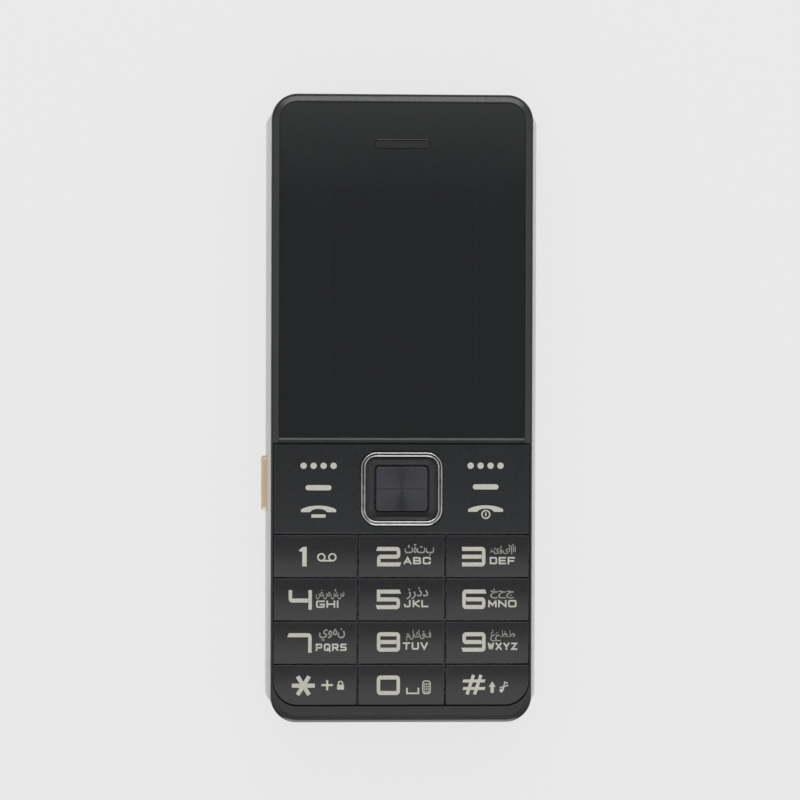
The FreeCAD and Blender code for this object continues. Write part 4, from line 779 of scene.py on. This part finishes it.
foot = addNode(tree, "ShaderNodeMapRange", {"From Min": 0.05, "From Max": 0.5, "To Min": 0.5},
               {"Value": height.outputs[0]})
aside = addNode(tree, "ShaderNodeMath", {"operation": "ABSOLUTE"}, {0: parts.outputs[0]})
flank = addNode(tree, "ShaderNodeMapRange",
                {"From Min": 0.25, "From Max": 0.75, "To Min": 1.0, "To Max": room["flank"]},
                {"Value": aside.outputs[0]})
edges = addNode(tree, "ShaderNodeMath", {"operation": "MULTIPLY"}, {0: foot.outputs[0], 1: flank.outputs[0]})
dimmed = addNode(tree, "ShaderNodeMath", {"operation": "MULTIPLY"},
                 {0: wallLevel.outputs[0], 1: edges.outputs[0]})
near = addNode(tree, "ShaderNodeMapRange",
               {"interpolation_type": "SMOOTHSTEP", "From Min": -0.86, "From Max": -0.93,
                "To Max": room["front"]}, {"Value": parts.outputs[1]})
tent = addNode(tree, "ShaderNodeMath", {"operation": "ADD"}, {0: dimmed.outputs[0], 1: near.outputs[0]})
flag = room["flag"]
pastSlot = addNode(tree, "ShaderNodeMath", {"operation": "SUBTRACT", 1: flag["wide"]}, {0: aside.outputs[0]})
beside = addNode(tree, "ShaderNodeMath", {"operation": "MAXIMUM", 1: 0.0}, {0: pastSlot.outputs[0]})
along = addNode(tree, "ShaderNodeMath", {"operation": "SUBTRACT", 1: flag["middle"]}, {0: parts.outputs[1]})
pair = addNode(tree, "ShaderNodeCombineXYZ", links={0: beside.outputs[0], 1: along.outputs[0]})
away = addNode(tree, "ShaderNodeVectorMath", {"operation": "LENGTH"}, {0: pair.outputs[0]})
slot = addNode(tree, "ShaderNodeMapRange",
               {"interpolation_type": "SMOOTHSTEP", "From Min": flag["dark"], "From Max": flag["light"],
                "To Min": flag["level"]}, {"Value": away.outputs["Value"]})
level = addNode(tree, "ShaderNodeMath", {"operation": "MULTIPLY"},
                {0: tent.outputs[0], 1: slot.outputs[0]})
light = addNode(tree, "ShaderNodeBackground", {"Color": toLinear("#FFFFFF")}, {"Strength": level.outputs[0]})
pale = addNode(tree, "ShaderNodeBackground", {"Color": toLinear(room["floor"]), "Strength": 1.0})
rays = addNode(tree, "ShaderNodeLightPath")
both = addNode(tree, "ShaderNodeMixShader", links={0: rays.outputs["Is Camera Ray"], 1: light.outputs[0],
                                                   2: pale.outputs[0]})
addNode(tree, "ShaderNodeOutputWorld", links={"Surface": both.outputs[0]})

# Soft boxes: where each stands, its size in metres and its power in watts
lamps = {
    "upperBox": {"place": (0.0, 0.62, 0.5), "size": (1.1, 0.12), "power": 1.8},
    "leftBox": {"place": (-0.8, 0.0, 0.62), "size": (0.5, 0.9), "power": 0.28},
    "rightBox": {"place": (0.8, 0.0, 0.62), "size": (0.5, 0.9), "power": 0.38},
}
for name, lamp in lamps.items():
    data = bpy.data.lights.new(name, "AREA")
    data.shape = "RECTANGLE"
    data.size, data.size_y = lamp["size"]
    data.energy = lamp["power"]
    box = bpy.data.objects.new(name, data)
    box.location = lamp["place"]
    towards = -box.location
    box.rotation_euler = towards.to_track_quat("-Z", "Y").to_euler()
    bpy.context.scene.collection.objects.link(box)
print("studio done")
